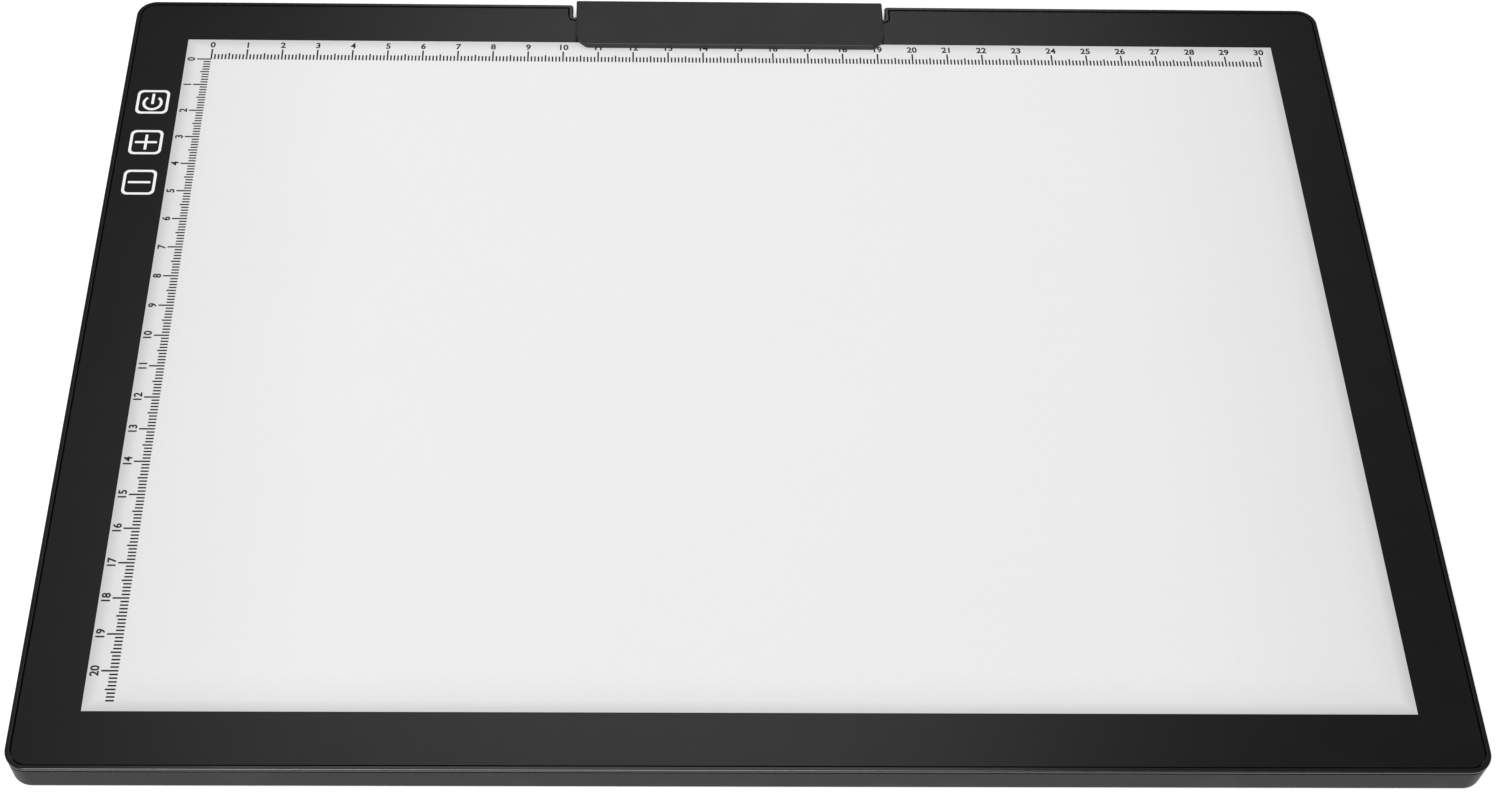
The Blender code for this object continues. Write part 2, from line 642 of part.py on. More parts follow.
def make_pivot():
    """An empty on the clip's hinge axis, which the clip turns about."""
    pivot = bpy.data.objects.new("clip_pivot", None)
    pivot.location = (0.0, AXIS_Y, AXIS_Z)
    bpy.context.scene.collection.objects.link(pivot)
    bpy.context.view_layer.update()
    return pivot


def make_hinge_pins(steel):
    for name, x_ends in zip(("hinge_pin_right", "hinge_pin_left"), both_sides(PIN_ENDS)):
        bm = bmesh.new()
        add_rod(bm, x_ends, PIN_RADIUS, 12)
        smooth(new_object(name, bm, steel))


def spring_route(side):
    """Centre line of a torsion spring: a leg on the shell, the coil, and a leg under the clip's plate."""
    steps = 10
    low, high = SPRING_ENDS
    shell_leg = [(high, AXIS_Y - SPRING_LEG, AXIS_Z - SPRING_COIL - 0.0004)]
    coil = []
    total = SPRING_TURNS * steps + steps * 3 // 4
    for step in range(total + 1):
        angle = -math.pi / 2 + math.tau * step / steps
        x = high + (low - high) * step / total
        coil.append((x, AXIS_Y + SPRING_COIL * math.cos(angle), AXIS_Z + SPRING_COIL * math.sin(angle)))
    clip_leg = [(low, AXIS_Y - SPRING_COIL, CLIP_UNDERSIDE - 0.0009)]
    return [(side * x, y, z) for x, y, z in shell_leg + coil + clip_leg]


def make_springs(steel):
    for name, side in (("clip_spring_right", 1), ("clip_spring_left", -1)):
        curve = bpy.data.curves.new(name, "CURVE")
        curve.dimensions = "3D"
        curve.bevel_depth = WIRE_RADIUS
        curve.bevel_resolution = 1
        curve.use_fill_caps = True
        route = spring_route(side)
        spline = curve.splines.new("POLY")
        spline.points.add(len(route) - 1)
        for point, place in zip(spline.points, route):
            point.co = (*place, 1.0)
        curve.materials.append(steel)
        bpy.context.scene.collection.objects.link(bpy.data.objects.new(name, curve))


def main():
    clear_scene()
    black = material("black_abs", (0.02, 0.02, 0.021), 0.42)
    panel_white = material("opal_acrylic", (0.82, 0.82, 0.82), 0.35)
    film_white = material("white_film", (0.9, 0.9, 0.9), 0.6)
    clear = material("clear_acrylic", (0.85, 0.88, 0.9), 0.08)
    board_white = material("white_board", (0.8, 0.8, 0.76), 0.5)
    green = material("green_board", (0.02, 0.16, 0.06), 0.45)
    foam = material("sensing_foam", (0.05, 0.05, 0.055), 0.9)
    silver = material("battery_foil", (0.6, 0.61, 0.63), 0.35, 0.8)
    steel = material("plated_steel", (0.6, 0.6, 0.62), 0.3, 1.0)
    rubber = material("black_rubber", (0.03, 0.03, 0.03), 0.8)

    make_lower_shell(black)
    make_top_frame(black)
    make_panel_and_stack(panel_white, clear, film_white)
    make_light_strips(board_white)
    make_control_board(green, foam)
    make_charging_parts(steel, clear)
    make_battery(silver)
    make_leads(rubber)
    make_feet(rubber)
    make_screws(steel)
    make_clip(black, rubber, make_pivot())
    make_hinge_pins(steel)
    make_springs(steel)


main()
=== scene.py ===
"""Finished look of an A4 LED tracing light box, built round its packed model.

Metres, +Z up. The origin is the centre of the base, on the surface the feet stand on. +X runs along the
long front edge and +Y runs to the rear edge, where the paper clip is hinged.
"""

import json
import math

import bmesh
import bpy
from bpy.props import FloatProperty, FloatVectorProperty, IntProperty, PointerProperty
from mathutils import Matrix, Vector


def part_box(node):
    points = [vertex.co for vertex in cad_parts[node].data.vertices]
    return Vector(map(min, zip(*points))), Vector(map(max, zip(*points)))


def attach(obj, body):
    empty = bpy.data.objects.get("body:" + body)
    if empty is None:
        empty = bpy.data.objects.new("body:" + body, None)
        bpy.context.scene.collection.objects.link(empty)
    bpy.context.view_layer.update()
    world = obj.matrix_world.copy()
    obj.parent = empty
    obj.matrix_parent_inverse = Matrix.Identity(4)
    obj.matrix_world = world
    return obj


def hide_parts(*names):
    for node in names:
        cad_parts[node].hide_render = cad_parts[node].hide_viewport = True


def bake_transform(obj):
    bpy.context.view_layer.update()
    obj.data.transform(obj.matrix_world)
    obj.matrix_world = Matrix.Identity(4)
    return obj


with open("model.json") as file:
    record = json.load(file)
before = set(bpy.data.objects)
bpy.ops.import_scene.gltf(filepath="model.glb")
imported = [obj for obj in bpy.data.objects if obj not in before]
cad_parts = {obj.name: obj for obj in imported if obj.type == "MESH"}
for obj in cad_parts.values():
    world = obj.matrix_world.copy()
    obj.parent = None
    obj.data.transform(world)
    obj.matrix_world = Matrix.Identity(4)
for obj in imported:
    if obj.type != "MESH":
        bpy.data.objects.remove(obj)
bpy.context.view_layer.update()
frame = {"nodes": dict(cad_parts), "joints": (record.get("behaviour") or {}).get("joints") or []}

bl_info = {
    "name": "Light box finish",
    "version": (1, 0, 0),
    "blender": (4, 5, 0),
    "location": "3D View > Sidebar > Light box",
    "description": "Builds the finished pieces of a tracing light box round its packed model",
    "category": "Object",
}

# The packed parts that give the new pieces their places
TRAY_LOW, TRAY_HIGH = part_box("lower_shell")
RIM_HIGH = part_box("top_frame")[1]
SHEET_LOW, SHEET_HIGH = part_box("drawing_panel")
CLIP_LOW, CLIP_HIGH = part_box("clip_bar")
STRIP_LOW, STRIP_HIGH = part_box("clip_grip_strip")
SOCKET_LOW, SOCKET_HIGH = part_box("usb_socket")
LIGHT_LOW, LIGHT_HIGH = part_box("charge_indicator")
PIN_LOW, PIN_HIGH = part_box("hinge_pin_right")
SPRING_LOW, SPRING_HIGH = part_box("clip_spring_right")
STACK_LOW, STACK_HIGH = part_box("reflector_sheet")
BOARD_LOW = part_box("control_board")[0]
HINGE = Vector(frame["joints"][0]["pos_m"])
SCREW_NODES = sorted(name for name in frame["nodes"] if name.startswith("shell_screw_"))
FOOT_NODES = sorted(name for name in frame["nodes"] if name.startswith("foot_"))
KEY_NODES = {name: f"touch_pad_{name}" for name in ("power", "plus", "minus")}

# Fits that the moulded parts share, and their levels
SEAM = 0.0003
LEDGE_TOP = SHEET_LOW.z - SEAM
LEDGE_BASE = LEDGE_TOP - 0.0005
LIP_BASE = TRAY_HIGH.z + SEAM
REBATE_BASE = LEDGE_BASE - SEAM
FLOOR_TOP = TRAY_LOW.z + 0.0012
RIB_TOP = STACK_LOW.z - SEAM
NOTCH_HALF = CLIP_HIGH.x + 0.0009
NOTCH_DEPTH = 0.0050
NOTCH_LIP_RADIUS = 0.0010
NOTCH_ROOT_RADIUS = 0.0004
SIDES = (-1, 1)

# Inside the casing
LEDGE_GAP_X = 0.0015
LEDGE_GAP_Y = 0.0008
KEY_WINDOW_Y = (0.0485, 0.0910)
KEY_WINDOW_GAP = 0.0005
TOWER_RADIUS = 0.0026
BOSS_RADIUS = 0.0036
PILOT_START = 0.0040
RIB_THICKNESS = 0.0012
RIB_REACH = 0.1450
RIB_ROWS = (-0.0850, -0.0350, 0.0080, 0.0980)
CROSS_RIBS = ((-0.0340, 0.0080), (0.0550, -0.0850), (0.1450, -0.0850))
PORT_REACH = 0.0100
PORT_RADIUS = 0.0018
LENS_RADIUS = (LIGHT_HIGH.z - LIGHT_LOW.z) / 2

# Clip, hinge and springs
CHEEK_X = (0.0462, 0.0515)
CHEEK_Y = (HINGE.y - 0.0030, HINGE.y + 0.0016)
PIN_BORE = 0.00082
BARREL_RADIUS = 0.0016
BARREL_HALF = 0.0330
CLIP_END_WALL = 0.0428
CLIP_RECESS = 0.0002
CLIP_SKIRT_BASE = 0.0036
HEEL_HALF_X = 0.0080
HEEL_HALF_Y = 0.0008
WIRE_RADIUS = 0.0002
COIL_RADIUS = 0.0012
SPRING_TURNS = 5.75

# Screws and socket
SCREW_SEAT = 0.0026
SCREW_HEAD = 0.0021
SCREW_SHANK = 0.0009
THREAD_PITCH = 0.0007
THREAD_DEPTH = 0.00016
RECESS_LONG = 0.0011
RECESS_SHORT = 0.00022
RECESS_DEPTH = 0.0007
RECESS_TAPER = 0.55
TONGUE_HALF = (0.0032, 0.00035)
TONGUE_SETBACK = 0.0008
TONGUE_ROOT = 0.0001
CONTACTS = 12
CONTACT_PITCH = 0.0005
CONTACT_HALF = 0.00013
CONTACT_SUNK = 0.00002
CONTACT_PROUD = 0.00003

# Modelling
ADD = "UNION"
CUT = "DIFFERENCE"
TINY = 0.00001
WELD = 1e-7
CLEAN = 1e-6
OVERRUN = 0.001
SHARP_ANGLE = 0.7
CREASE = math.radians(38.0)
MILLIMETRE = 0.001
DIGIT_SHARE = 0.72

# Lights
SOFTBOX_SIZE = (1.6, 1.4)
CARD_SIZE = (0.72, 1.3)


# Settings


def length(name, description, default):
    return FloatProperty(name=name, description=description, default=default, min=0.0, precision=5,
                         unit="LENGTH")


def share(name, description, default):
    return FloatProperty(name=name, description=description, default=default, min=0.0, max=1.0,
                         subtype="FACTOR")


def number(name, description, default):
    return FloatProperty(name=name, description=description, default=default)


def whole(name, description, default):
    return IntProperty(name=name, description=description, default=default, min=10)


def spot(name, description, default):
    return FloatVectorProperty(name=name, description=description, default=default, size=3, precision=5,
                               subtype="TRANSLATION")


def angle(name, description, degrees):
    return FloatProperty(name=name, description=description, default=math.radians(degrees), unit="ROTATION")


def colour(name, description, default):
    return FloatVectorProperty(name=name, description=description, default=default, min=0.0, max=1.0, size=3,
                               subtype="COLOR")


class LIGHTBOX_PG_casing(bpy.types.PropertyGroup):
    """Rim and tray of the pad"""

    corner_radius: length("Corner radius", "Radius of the pad's four corners seen from above", 0.0055)
    rim_width: length("Rim width", "Width of the raised rim round the drawing panel", 0.0011)
    rim_round: length("Rim edge", "Rounding of the rim's outer top edge", 0.00048)
    lip_round: length("Lip edge", "Rounding under the rim's outer edge, over the parting line", 0.00048)
    groove_round: length("Groove edge", "Rounding of the rim's inner top edge", 0.00010)
    skirt_inset: length("Skirt inset", "How far the skirt inside the tray stands in from the rim", 0.0008)
    tray_inset: length("Tray inset", "How far the tray's top edge stands in from the rim", 0.00015)
    tray_draft: length("Tray draft", "How much further in the tray's side is at its foot", 0.0002)
    tray_round: length("Tray edge", "Rounding of the tray's bottom edge", 0.0007)
    seam_round: length("Seam edge", "Rounding of the tray's top edge, under the rim", 0.00005)
    seam_extra: length("Seam shadow", "How much wider the parting line is than the fit needs", 0.00015)
    wall: length("Wall", "Thickness of the tray's side wall", 0.0016)
    colour: colour("Rim plastic", "Colour of the moulded rim", (0.0085, 0.0085, 0.0088))
    tray_colour: colour("Tray plastic", "Colour of the moulded tray", (0.0075, 0.0075, 0.0077))
    rim_roughness: share("Rim roughness", "Roughness of the polished rim", 0.20)
    tray_roughness: share("Tray roughness", "Roughness of the matt tray", 0.46)


class LIGHTBOX_PG_panel(bpy.types.PropertyGroup):
    """Opal drawing panel and its printed border"""

    window_width: length("Window width", "Width of the white window inside the printed border", 0.31115)
    window_depth: length("Window depth", "Depth of the white window inside the printed border", 0.21850)
    window_right: length("Window right", "How far right of the pad's middle the window's middle is", 0.000475)
    edge_round: length("Panel edge", "Rounding of the panel's top edge", 0.00005)
    ink_thickness: length("Ink", "Height of every printed ink above the panel", 0.00002)
    # Painted shade: width of the darker band inside the window's edges.
    painted_edge_shade_width: length("Edge fade", "Width of the duller band inside the window's edges", 0.0120)
    # Painted light: how much lighter the opal's colour is made per metre rearwards.
    painted_rear_light: number("Rear lift", "How much brighter the opal gets per metre rearwards", 0.45)
    colour: colour("Opal", "Colour of the acrylic in the middle of the window", (0.838, 0.838, 0.840))
    # Painted shade: the darker opal colour at the window's edges.
    painted_edge_shade_colour: colour("Opal edge", "Colour of the acrylic at the window's edges", (0.600, 0.600, 0.602))
    border_colour: colour("Border ink", "Colour of the printed border", (0.0045, 0.0045, 0.0047))


class LIGHTBOX_PG_ruler(bpy.types.PropertyGroup):
    """Centimetre rulers printed along the rear and left edges"""

    left_band: length("Left band", "From the window's left edge to the left ruler's line", 0.00725)
    rear_band: length("Rear band", "From the window's rear edge to the rear ruler's line", 0.00775)
    rear_marks: whole("Rear marks", "Millimetres on the rear ruler", 300)
    left_marks: whole("Left marks", "Millimetres on the left ruler", 208)
    long_mark: length("Centimetre mark", "Length of a centimetre mark", 0.0040)
    middle_mark: length("Half mark", "Length of a half centimetre mark", 0.0025)
    short_mark: length("Millimetre mark", "Length of a millimetre mark", 0.0020)
    stroke: length("Stroke", "Width of a mark", 0.00045)
    digit_weight: length("Digit weight", "How much bolder the numbers are made", 0.00008)
    digit_height: length("Digit height", "Height of the numbers", 0.0021)
    rear_digit_gap: length("Rear number place", "From the rear ruler's line to its numbers' feet", 0.0047)
    left_digit_gap: length("Left number place", "From the left ruler's line to its numbers' feet", 0.0046)
    colour: colour("Ruler ink", "Colour of the rulers", (0.006, 0.006, 0.0063))


class LIGHTBOX_PG_keys(bpy.types.PropertyGroup):
    """Touch keys printed on the left border"""

    side: length("Key size", "Outer size of a key's outline", 0.0090)
    radius: length("Key corner", "Corner radius of a key's outline", 0.0016)
    stroke: length("Stroke", "Width of the printed lines", 0.00075)
    centre_left: length("Key place", "From the window's left edge to the middle of the keys", 0.0072)
    ring: length("Power ring", "Outer diameter of the power symbol's ring", 0.0056)
    ring_gap: angle("Ring gap", "Half the angle of the gap in the power symbol's ring", 38.0)
    ring_drop: length("Ring place", "How far the ring is in front of the key's middle", 0.0004)
    bar_top: length("Bar top", "From the key's middle to the rear end of the power symbol's bar", 0.0031)
    bar_foot: length("Bar foot", "From the key's middle to the front end of the power symbol's bar", 0.00085)
    symbol: length("Symbol size", "Length of the plus and minus strokes", 0.0061)
    colour: colour("Key ink", "Colour of the key symbols", (0.93, 0.93, 0.93))


class LIGHTBOX_PG_clip(bpy.types.PropertyGroup):
    """Paper clip across the rear notch"""

    chamfer: length("Front corners", "Size of the cut front corners", 0.0030)
    corner_round: length("Corner rounding", "Rounding of the cut corners' upright edges", 0.0008)
    edge_round: length("Edge rounding", "Rounding of the clip's top edges", 0.00035)
    rear_round: length("Rear rounding", "Rounding of the clip's rear top edge", 0.0014)
    front_height: length("Front height", "How much lower the clip's front edge is than its rear edge", 0.0006)
    skirt: length("Skirt", "Thickness of the skirt behind the hinge", 0.0011)
    colour: colour("Plastic", "Colour of the clip", (0.0165, 0.0165, 0.0168))
    roughness: share("Roughness", "Roughness of the clip", 0.52)


class LIGHTBOX_PG_stage(bpy.types.PropertyGroup):
    """Camera, floor and light"""

    camera_place: spot("Camera place", "Where the camera stands", (-0.02914, -0.38265, 0.49774))
    camera_tilt: angle("Camera tilt", "Angle of the view from straight down", 36.8636)
    camera_roll: angle("Camera roll", "Lean of the camera to its side", -0.9759)
    camera_turn: angle("Camera turn", "Turn of the camera about the vertical", -0.3753)
    lens: FloatProperty(name="Lens", description="Focal length in millimetres", default=57.29, min=1.0)
    shift_right: number("Shift right", "Sideways shift of the lens", 0.0541)
    shift_up: number("Shift up", "Upward shift of the lens", -0.0015)
    key_place: spot("Softbox place", "Where the front softbox hangs", (-0.35, -1.30, 2.00))
    key_power: number("Softbox", "Power of the front softbox in watts", 66.0)
    card_place: spot("Card place", "Where the overhead card hangs", (0.03, 1.05, 1.30))
    card_turn: angle("Card turn", "Turn of the overhead card about the vertical", -13.0)
    card_power: number("Card", "Power of the overhead card in watts", 3.6)
    room: number("Room", "Brightness of the room round the stage", 0.09)
    floor_colour: colour("Floor", "Colour of the floor", (0.90, 0.90, 0.90))
    floor_glow: number("Floor glow", "Light given off by the pale floor", 0.26)


# Shader maths


class Value:
    """A number socket that Python arithmetic turns into Math nodes."""

    def __init__(self, finish, socket):
        self.finish = finish
        self.socket = socket

    def math(self, operation, *others):
        return self.finish.maths(operation, self, *others)

    def __add__(self, other):
        return self.math("ADD", other)

    __radd__ = __add__

    def __sub__(self, other):
        return self.math("SUBTRACT", other)

    def __rsub__(self, other):
        return self.finish.maths("SUBTRACT", other, self)

    def __mul__(self, other):
        return self.math("MULTIPLY", other)

    def __pow__(self, other):
        return self.math("POWER", other)

    def __abs__(self):
        return self.math("ABSOLUTE")

    def lower_of(self, other):
        return self.math("MINIMUM", other)

    def wrapped(self, pitch):
        """Distance from the nearest of a row of lines that are pitch apart."""
        return abs(self.math("WRAP", pitch / 2, -pitch / 2))


class Finish:
    """A procedural material in the making, read in Object coordinates."""

    def __init__(self, name):
        self.material = bpy.data.materials.new(name)
        self.material.use_nodes = True
        self.tree = self.material.node_tree
        self.shader = self.tree.nodes["Principled BSDF"]
        self.place = self.node("ShaderNodeTexCoord", output="Object")

    def put(self, socket, value):
        if isinstance(value, Value):
            self.tree.links.new(value.socket, socket)
        else:
            socket.default_value = value

    def node(self, kind, settings=None, inputs=None, output=0):
        """One output of a new node, whose settings are made before its inputs are set or linked."""
        made = self.tree.nodes.new(kind)
        for key, setting in (settings or {}).items():
            setattr(made, key, setting)
        for key, value in (inputs or {}).items():
            self.put(made.inputs[key], value)
        return Value(self, made.outputs[output])

    def maths(self, operation, *values):
        return self.node("ShaderNodeMath", {"operation": operation}, dict(enumerate(values)))

    def axis(self, letter):
        return self.node("ShaderNodeSeparateXYZ", inputs={0: self.place}, output=letter)

    def noise(self, scale, detail=3.0, roughness=0.55, stretch=(1.0, 1.0, 1.0)):
        place = self.place
        if stretch != (1.0, 1.0, 1.0):
            place = self.node("ShaderNodeMapping", {"vector_type": "POINT"},
                              {"Vector": place, "Scale": stretch})
        return self.node("ShaderNodeTexNoise", inputs={
            "Vector": place, "Scale": scale, "Detail": detail, "Roughness": roughness}, output="Fac")

    def cells(self, scale, feature="F1"):
        return self.node("ShaderNodeTexVoronoi", {"feature": feature},
                         {"Vector": self.place, "Scale": scale}, output="Distance")

    def ease(self, value, low, high):
        """value eased from a range onto 0 to 1, held at the ends."""
        return self.node("ShaderNodeMapRange", {"interpolation_type": "SMOOTHSTEP"},
                         {"Value": value, "From Min": low, "From Max": high})

    def blend(self, share_of_second, first, second):
        """A colour between two colours."""
        first, second = (tone if isinstance(tone, Value) else (*tone, 1.0) for tone in (first, second))
        return self.node("ShaderNodeMix", {"data_type": "RGBA"}, {0: share_of_second, 6: first, 7: second}, 2)

    def bump(self, height, depth):
        return self.node("ShaderNodeBump", inputs={"Height": height, "Distance": depth, "Strength": 1.0})

    def done(self, base, roughness, height, depth, **others):
        """The material with its colour, roughness and relief, and any other inputs named."""
        return self.set(base_color=base, roughness=roughness, normal=self.bump(height, depth), **others)

    def set(self, **values):
        """Sets or links the shader's inputs, whose names are given with underscores for spaces."""
        for key, value in values.items():
            name = key.replace("_", " ").title().replace("Ior", "IOR")
            if isinstance(value, tuple) and len(value) == 3:
                value = (*value, 1.0)
            self.put(self.shader.inputs[name], value)
        return self.material


def toned(tone, factor):
    return tuple(min(part * factor, 1.0) for part in tone)


def moulded_plastic(name, tone, roughness, grain=2600.0, depth=0.000012, specular=0.5):
    """Spark-textured injection moulding: fine grain, slow flow mottling and rubbed, shinier patches."""
    finish = Finish(name)
    flow = finish.noise(38.0, 4.0, 0.6)
    fine = finish.noise(grain, 2.0, 0.6)
    rubbed = finish.ease(finish.noise(85.0, 3.0, 0.5), 0.52, 0.72)
    tint = finish.blend(flow * 0.7 + fine * 0.3, toned(tone, 0.80), toned(tone, 1.22))
    return finish.done(tint, roughness + (fine - 0.5) * 0.10 - rubbed * 0.05,
                       fine * 0.8 + finish.noise(grain * 0.35, 2.0) * 0.2, depth,
                       specular_ior_level=specular)


def opal_acrylic(panel):
    """White cast acrylic over the light guide, its colour carrying painted light: brightest in the middle,
    with painted shade towards the window's edges and sides and painted light towards the rear.

    Its cut edge is painted dark like the printed border, as painted shade in the groove round the panel.
    """
    finish = Finish("opal acrylic")
    half_x = panel.window_width / 2
    half_y = panel.window_depth / 2
    from_side = half_x - abs(finish.axis("X") - panel.window_right)
    from_end = half_y - abs(finish.axis("Y"))
    from_edge = from_side.lower_of(from_end)
    # Painted shade: the opal's colour darkens towards the window's edges and towards its sides.
    inside = (finish.ease(from_edge, 0.0, panel.painted_edge_shade_width * 0.3) * 0.55
              + finish.ease(from_edge, 0.0, panel.painted_edge_shade_width) * 0.25
              + finish.ease(from_side, 0.0, panel.painted_edge_shade_width * 5.0) * 0.20)
    clouds = finish.noise(24.0, 4.0, 0.6)
    specks = finish.ease(finish.noise(900.0, 2.0, 0.5), 0.30, 0.70)
    opal = finish.blend(inside, tuple(panel.painted_edge_shade_colour), tuple(panel.colour))
    # Painted shade: the sheet's cut edge and the band outside the window take the border ink's colour,
    # standing in for the groove's shade.
    painted_groove_shade = finish.ease(from_edge, -0.0010, -0.0008)
    opal = finish.blend(painted_groove_shade, tuple(panel.border_colour), opal)
    # Painted light: the colour is made lighter towards the rear, on top of the faint real clouds and specks.
    shade = 0.985 + clouds * 0.02 + specks * 0.010 + finish.axis("Y") * panel.painted_rear_light
    shaded = finish.node("ShaderNodeVectorMath", {"operation": "SCALE"}, {0: opal, "Scale": shade})
    return finish.done(shaded, 0.42 + (clouds - 0.5) * 0.06 + (specks - 0.5) * 0.03,
                       finish.noise(1400.0, 2.0), 0.000004, specular_ior_level=0.30)


def printed_ink(name, tone, roughness, cover=0.18):
    """Screen-printed ink: a faint mesh mark, slight thin places and a satin skin."""
    finish = Finish(name)
    mesh_mark = finish.noise(4200.0, 1.0, 0.4)
    thin = finish.noise(120.0, 4.0, 0.6)
    tint = finish.blend(thin * 0.6 + mesh_mark * 0.4, toned(tone, 1 - cover), toned(tone, 1 + cover))
    return finish.done(tint, roughness + (thin - 0.5) * 0.06 + (mesh_mark - 0.5) * 0.04, mesh_mark,
                       0.000003)


def moulded_rubber(name, tone):
    """Soft rubber: matt, dusty in the low places, with a fine pebble."""
    finish = Finish(name)
    pebble = finish.cells(2300.0)
    dust = finish.ease(finish.noise(260.0, 4.0, 0.65), 0.45, 0.75)
    return finish.done(finish.blend(dust, tone, toned(tone, 2.4)), 0.80 + dust * 0.12, pebble, 0.00002,
                       specular_ior_level=0.35)


def plated_metal(name, tone, roughness, stretch=(1.0, 1.0, 1.0)):
    """Plated steel: drawn or turned streaks, dull patches and a slight tarnish."""
    finish = Finish(name)
    streaks = finish.noise(1500.0, 3.0, 0.6, stretch)
    patches = finish.noise(420.0, 4.0, 0.6)
    tarnished = (tone[0] * 0.70, tone[1] * 0.67, tone[2] * 0.62)
    tint = finish.blend(finish.ease(patches, 0.35, 0.75), tone, tarnished)
    return finish.done(tint, roughness + (streaks - 0.5) * 0.16 + (patches - 0.5) * 0.12, streaks,
                       0.000006, metallic=1.0)


def light_film(name, tone):
    """Polyester film: a fine matt coat with faint waviness."""
    finish = Finish(name)
    wave = finish.noise(30.0, 2.0)
    coat = finish.noise(3000.0, 2.0)
    return finish.done(finish.blend(wave, toned(tone, 0.96), toned(tone, 1.02)),
                       0.55 + (coat - 0.5) * 0.15, coat * 0.3 + wave * 0.7, 0.00002)


def light_guide():
    """Clear acrylic guide whose base carries a grid of etched dots that throw the light upwards."""
    finish = Finish("etched light guide")
    pitch = 0.0020
    from_dot = (finish.axis("X").wrapped(pitch) ** 2 + finish.axis("Y").wrapped(pitch) ** 2) ** 0.5
    dot = 1 - finish.ease(from_dot, 0.0003, 0.0004)
    return finish.done(finish.blend(dot, (0.93, 0.96, 0.97), (0.98, 0.98, 0.98)), 0.04 + dot * 0.55, dot,
                       0.00003, transmission_weight=0.85, ior=1.49)


def led_strip():
    """White solder mask with copper tracks under it and a yellow phosphor window on each diode."""
    finish = Finish("white led strip")
    pitch = 0.0152
    along = (finish.axis("X") + pitch / 2).wrapped(pitch)
    height = finish.axis("Z")
    middle = STACK_LOW.z + 0.00105
    window = 1 - finish.ease(along, 0.0014, 0.0016)
    window = window * (1 - finish.ease(abs(height - middle), 0.0004, 0.0005))
    track = 1 - finish.ease(abs(height - middle - 0.0007), 0.00010, 0.00015)
    board = finish.blend(track * 0.5, (0.80, 0.80, 0.76), (0.62, 0.58, 0.46))
    return finish.done(finish.blend(window, board, (0.85, 0.66, 0.10)),
                       0.50 - window * 0.2 + (finish.noise(1800.0) - 0.5) * 0.1,
                       track * 0.6 + finish.noise(2400.0) * 0.2, 0.00002)


def circuit_board():
    """Green solder mask over copper tracks and pads."""
    finish = Finish("green circuit board")
    tracks = finish.node("ShaderNodeTexBrick", {"offset": 0.5, "squash": 0.6}, {
        "Vector": finish.place, "Scale": 520.0, "Mortar Size": 0.06, "Brick Width": 1.6, "Row Height": 0.5,
    }, "Fac")
    pads = 1 - finish.ease(finish.cells(620.0), 0.16, 0.22)
    mask = finish.blend(tracks * 0.6, (0.012, 0.105, 0.040), (0.030, 0.200, 0.075))
    return finish.done(finish.blend(pads * 0.7, mask, (0.62, 0.50, 0.25)),
                       0.36 + (finish.noise(900.0) - 0.5) * 0.12, tracks * 0.6 + pads * 0.4, 0.00003)


def open_foam():
    finish = Finish("conductive foam")
    pores = finish.cells(2600.0, "DISTANCE_TO_EDGE")
    wall = 1 - finish.ease(pores, 0.02, 0.16)
    return finish.done(finish.blend(wall, (0.018, 0.018, 0.020), (0.085, 0.085, 0.090)),
                       0.86 + wall * 0.08, wall, 0.00012)


def pouch_foil():
    """Pressed aluminium pouch of the flat cell."""
    finish = Finish("pouch foil")
    wrinkles = finish.noise(180.0, 5.0, 0.6, (1.0, 3.0, 1.0))
    brushed = finish.noise(900.0, 2.0, 0.5, (1.0, 14.0, 1.0))
    return finish.done(finish.blend(wrinkles, (0.52, 0.53, 0.55), (0.72, 0.73, 0.75)),
                       0.30 + brushed * 0.20, wrinkles * 0.8 + brushed * 0.2, 0.00008, metallic=0.85)


def lead_jacket():
    finish = Finish("lead jacket")
    worn = finish.noise(900.0, 3.0)
    return finish.done(finish.blend(worn, (0.022, 0.022, 0.024), (0.050, 0.050, 0.054)),
                       0.50 + (worn - 0.5) * 0.2, worn, 0.00001)


def charge_lens():
    """Milky light pipe of the charge light."""
    finish = Finish("milky light pipe")
    haze = finish.noise(1600.0, 3.0)
    return finish.done(finish.blend(haze, (0.62, 0.64, 0.62), (0.80, 0.82, 0.80)), 0.22 + haze * 0.12,
                       haze, 0.000008, transmission_weight=0.35)


def pale_floor(stage):
    finish = Finish("pale floor")
    drift = finish.noise(2.5, 2.0)
    tone = tuple(stage.floor_colour)
    return finish.set(
        base_color=finish.blend(drift, toned(tone, 0.995), toned(tone, 1.005)),
        roughness=0.85,
        specular_ior_level=0.0,
        emission_color=(1.0, 1.0, 1.0),
        emission_strength=stage.floor_glow,
    )


# Shapes


def soften(bm, edges, radius, segments):
    bmesh.ops.bevel(bm, geom=list(edges), offset=radius, offset_type="OFFSET", segments=segments, profile=0.5,
                    affect="EDGES", material=-1, clamp_overlap=True)


def block(bm, low, high):
    """A box between two corners; gives its vertices."""
    size = Vector(high) - Vector(low)
    middle = (Vector(high) + Vector(low)) / 2
    matrix = Matrix.Translation(middle) @ Matrix.Diagonal((*size, 1.0))
    return bmesh.ops.create_cube(bm, size=1.0, matrix=matrix)["verts"]


def rounded_block(bm, low, high, radius, direction, segments=6):
    """A box whose four edges along one direction ("X", "Y" or "Z") are rounded."""
    axis = "XYZ".index(direction)
    verts = set(block(bm, low, high))
    edges = [edge for edge in bm.edges if verts.issuperset(edge.verts) and rise(edge, axis) > TINY]
    soften(bm, edges, radius, segments)


def rise(edge, axis=2):
    """How far an edge runs along an axis."""
    return abs(edge.verts[0].co[axis] - edge.verts[1].co[axis])


def middle_of(edge):
    return (edge.verts[0].co + edge.verts[1].co) / 2


def plate(bm, middle, half, levels, radius, segments=3):
    """A flat bar about a point, with its upright edges rounded."""
    (x, y), (half_x, half_y), (low, high) = middle, half, levels
    rounded_block(bm, (x - half_x, y - half_y, low), (x + half_x, y + half_y, high), radius, "Z", segments)


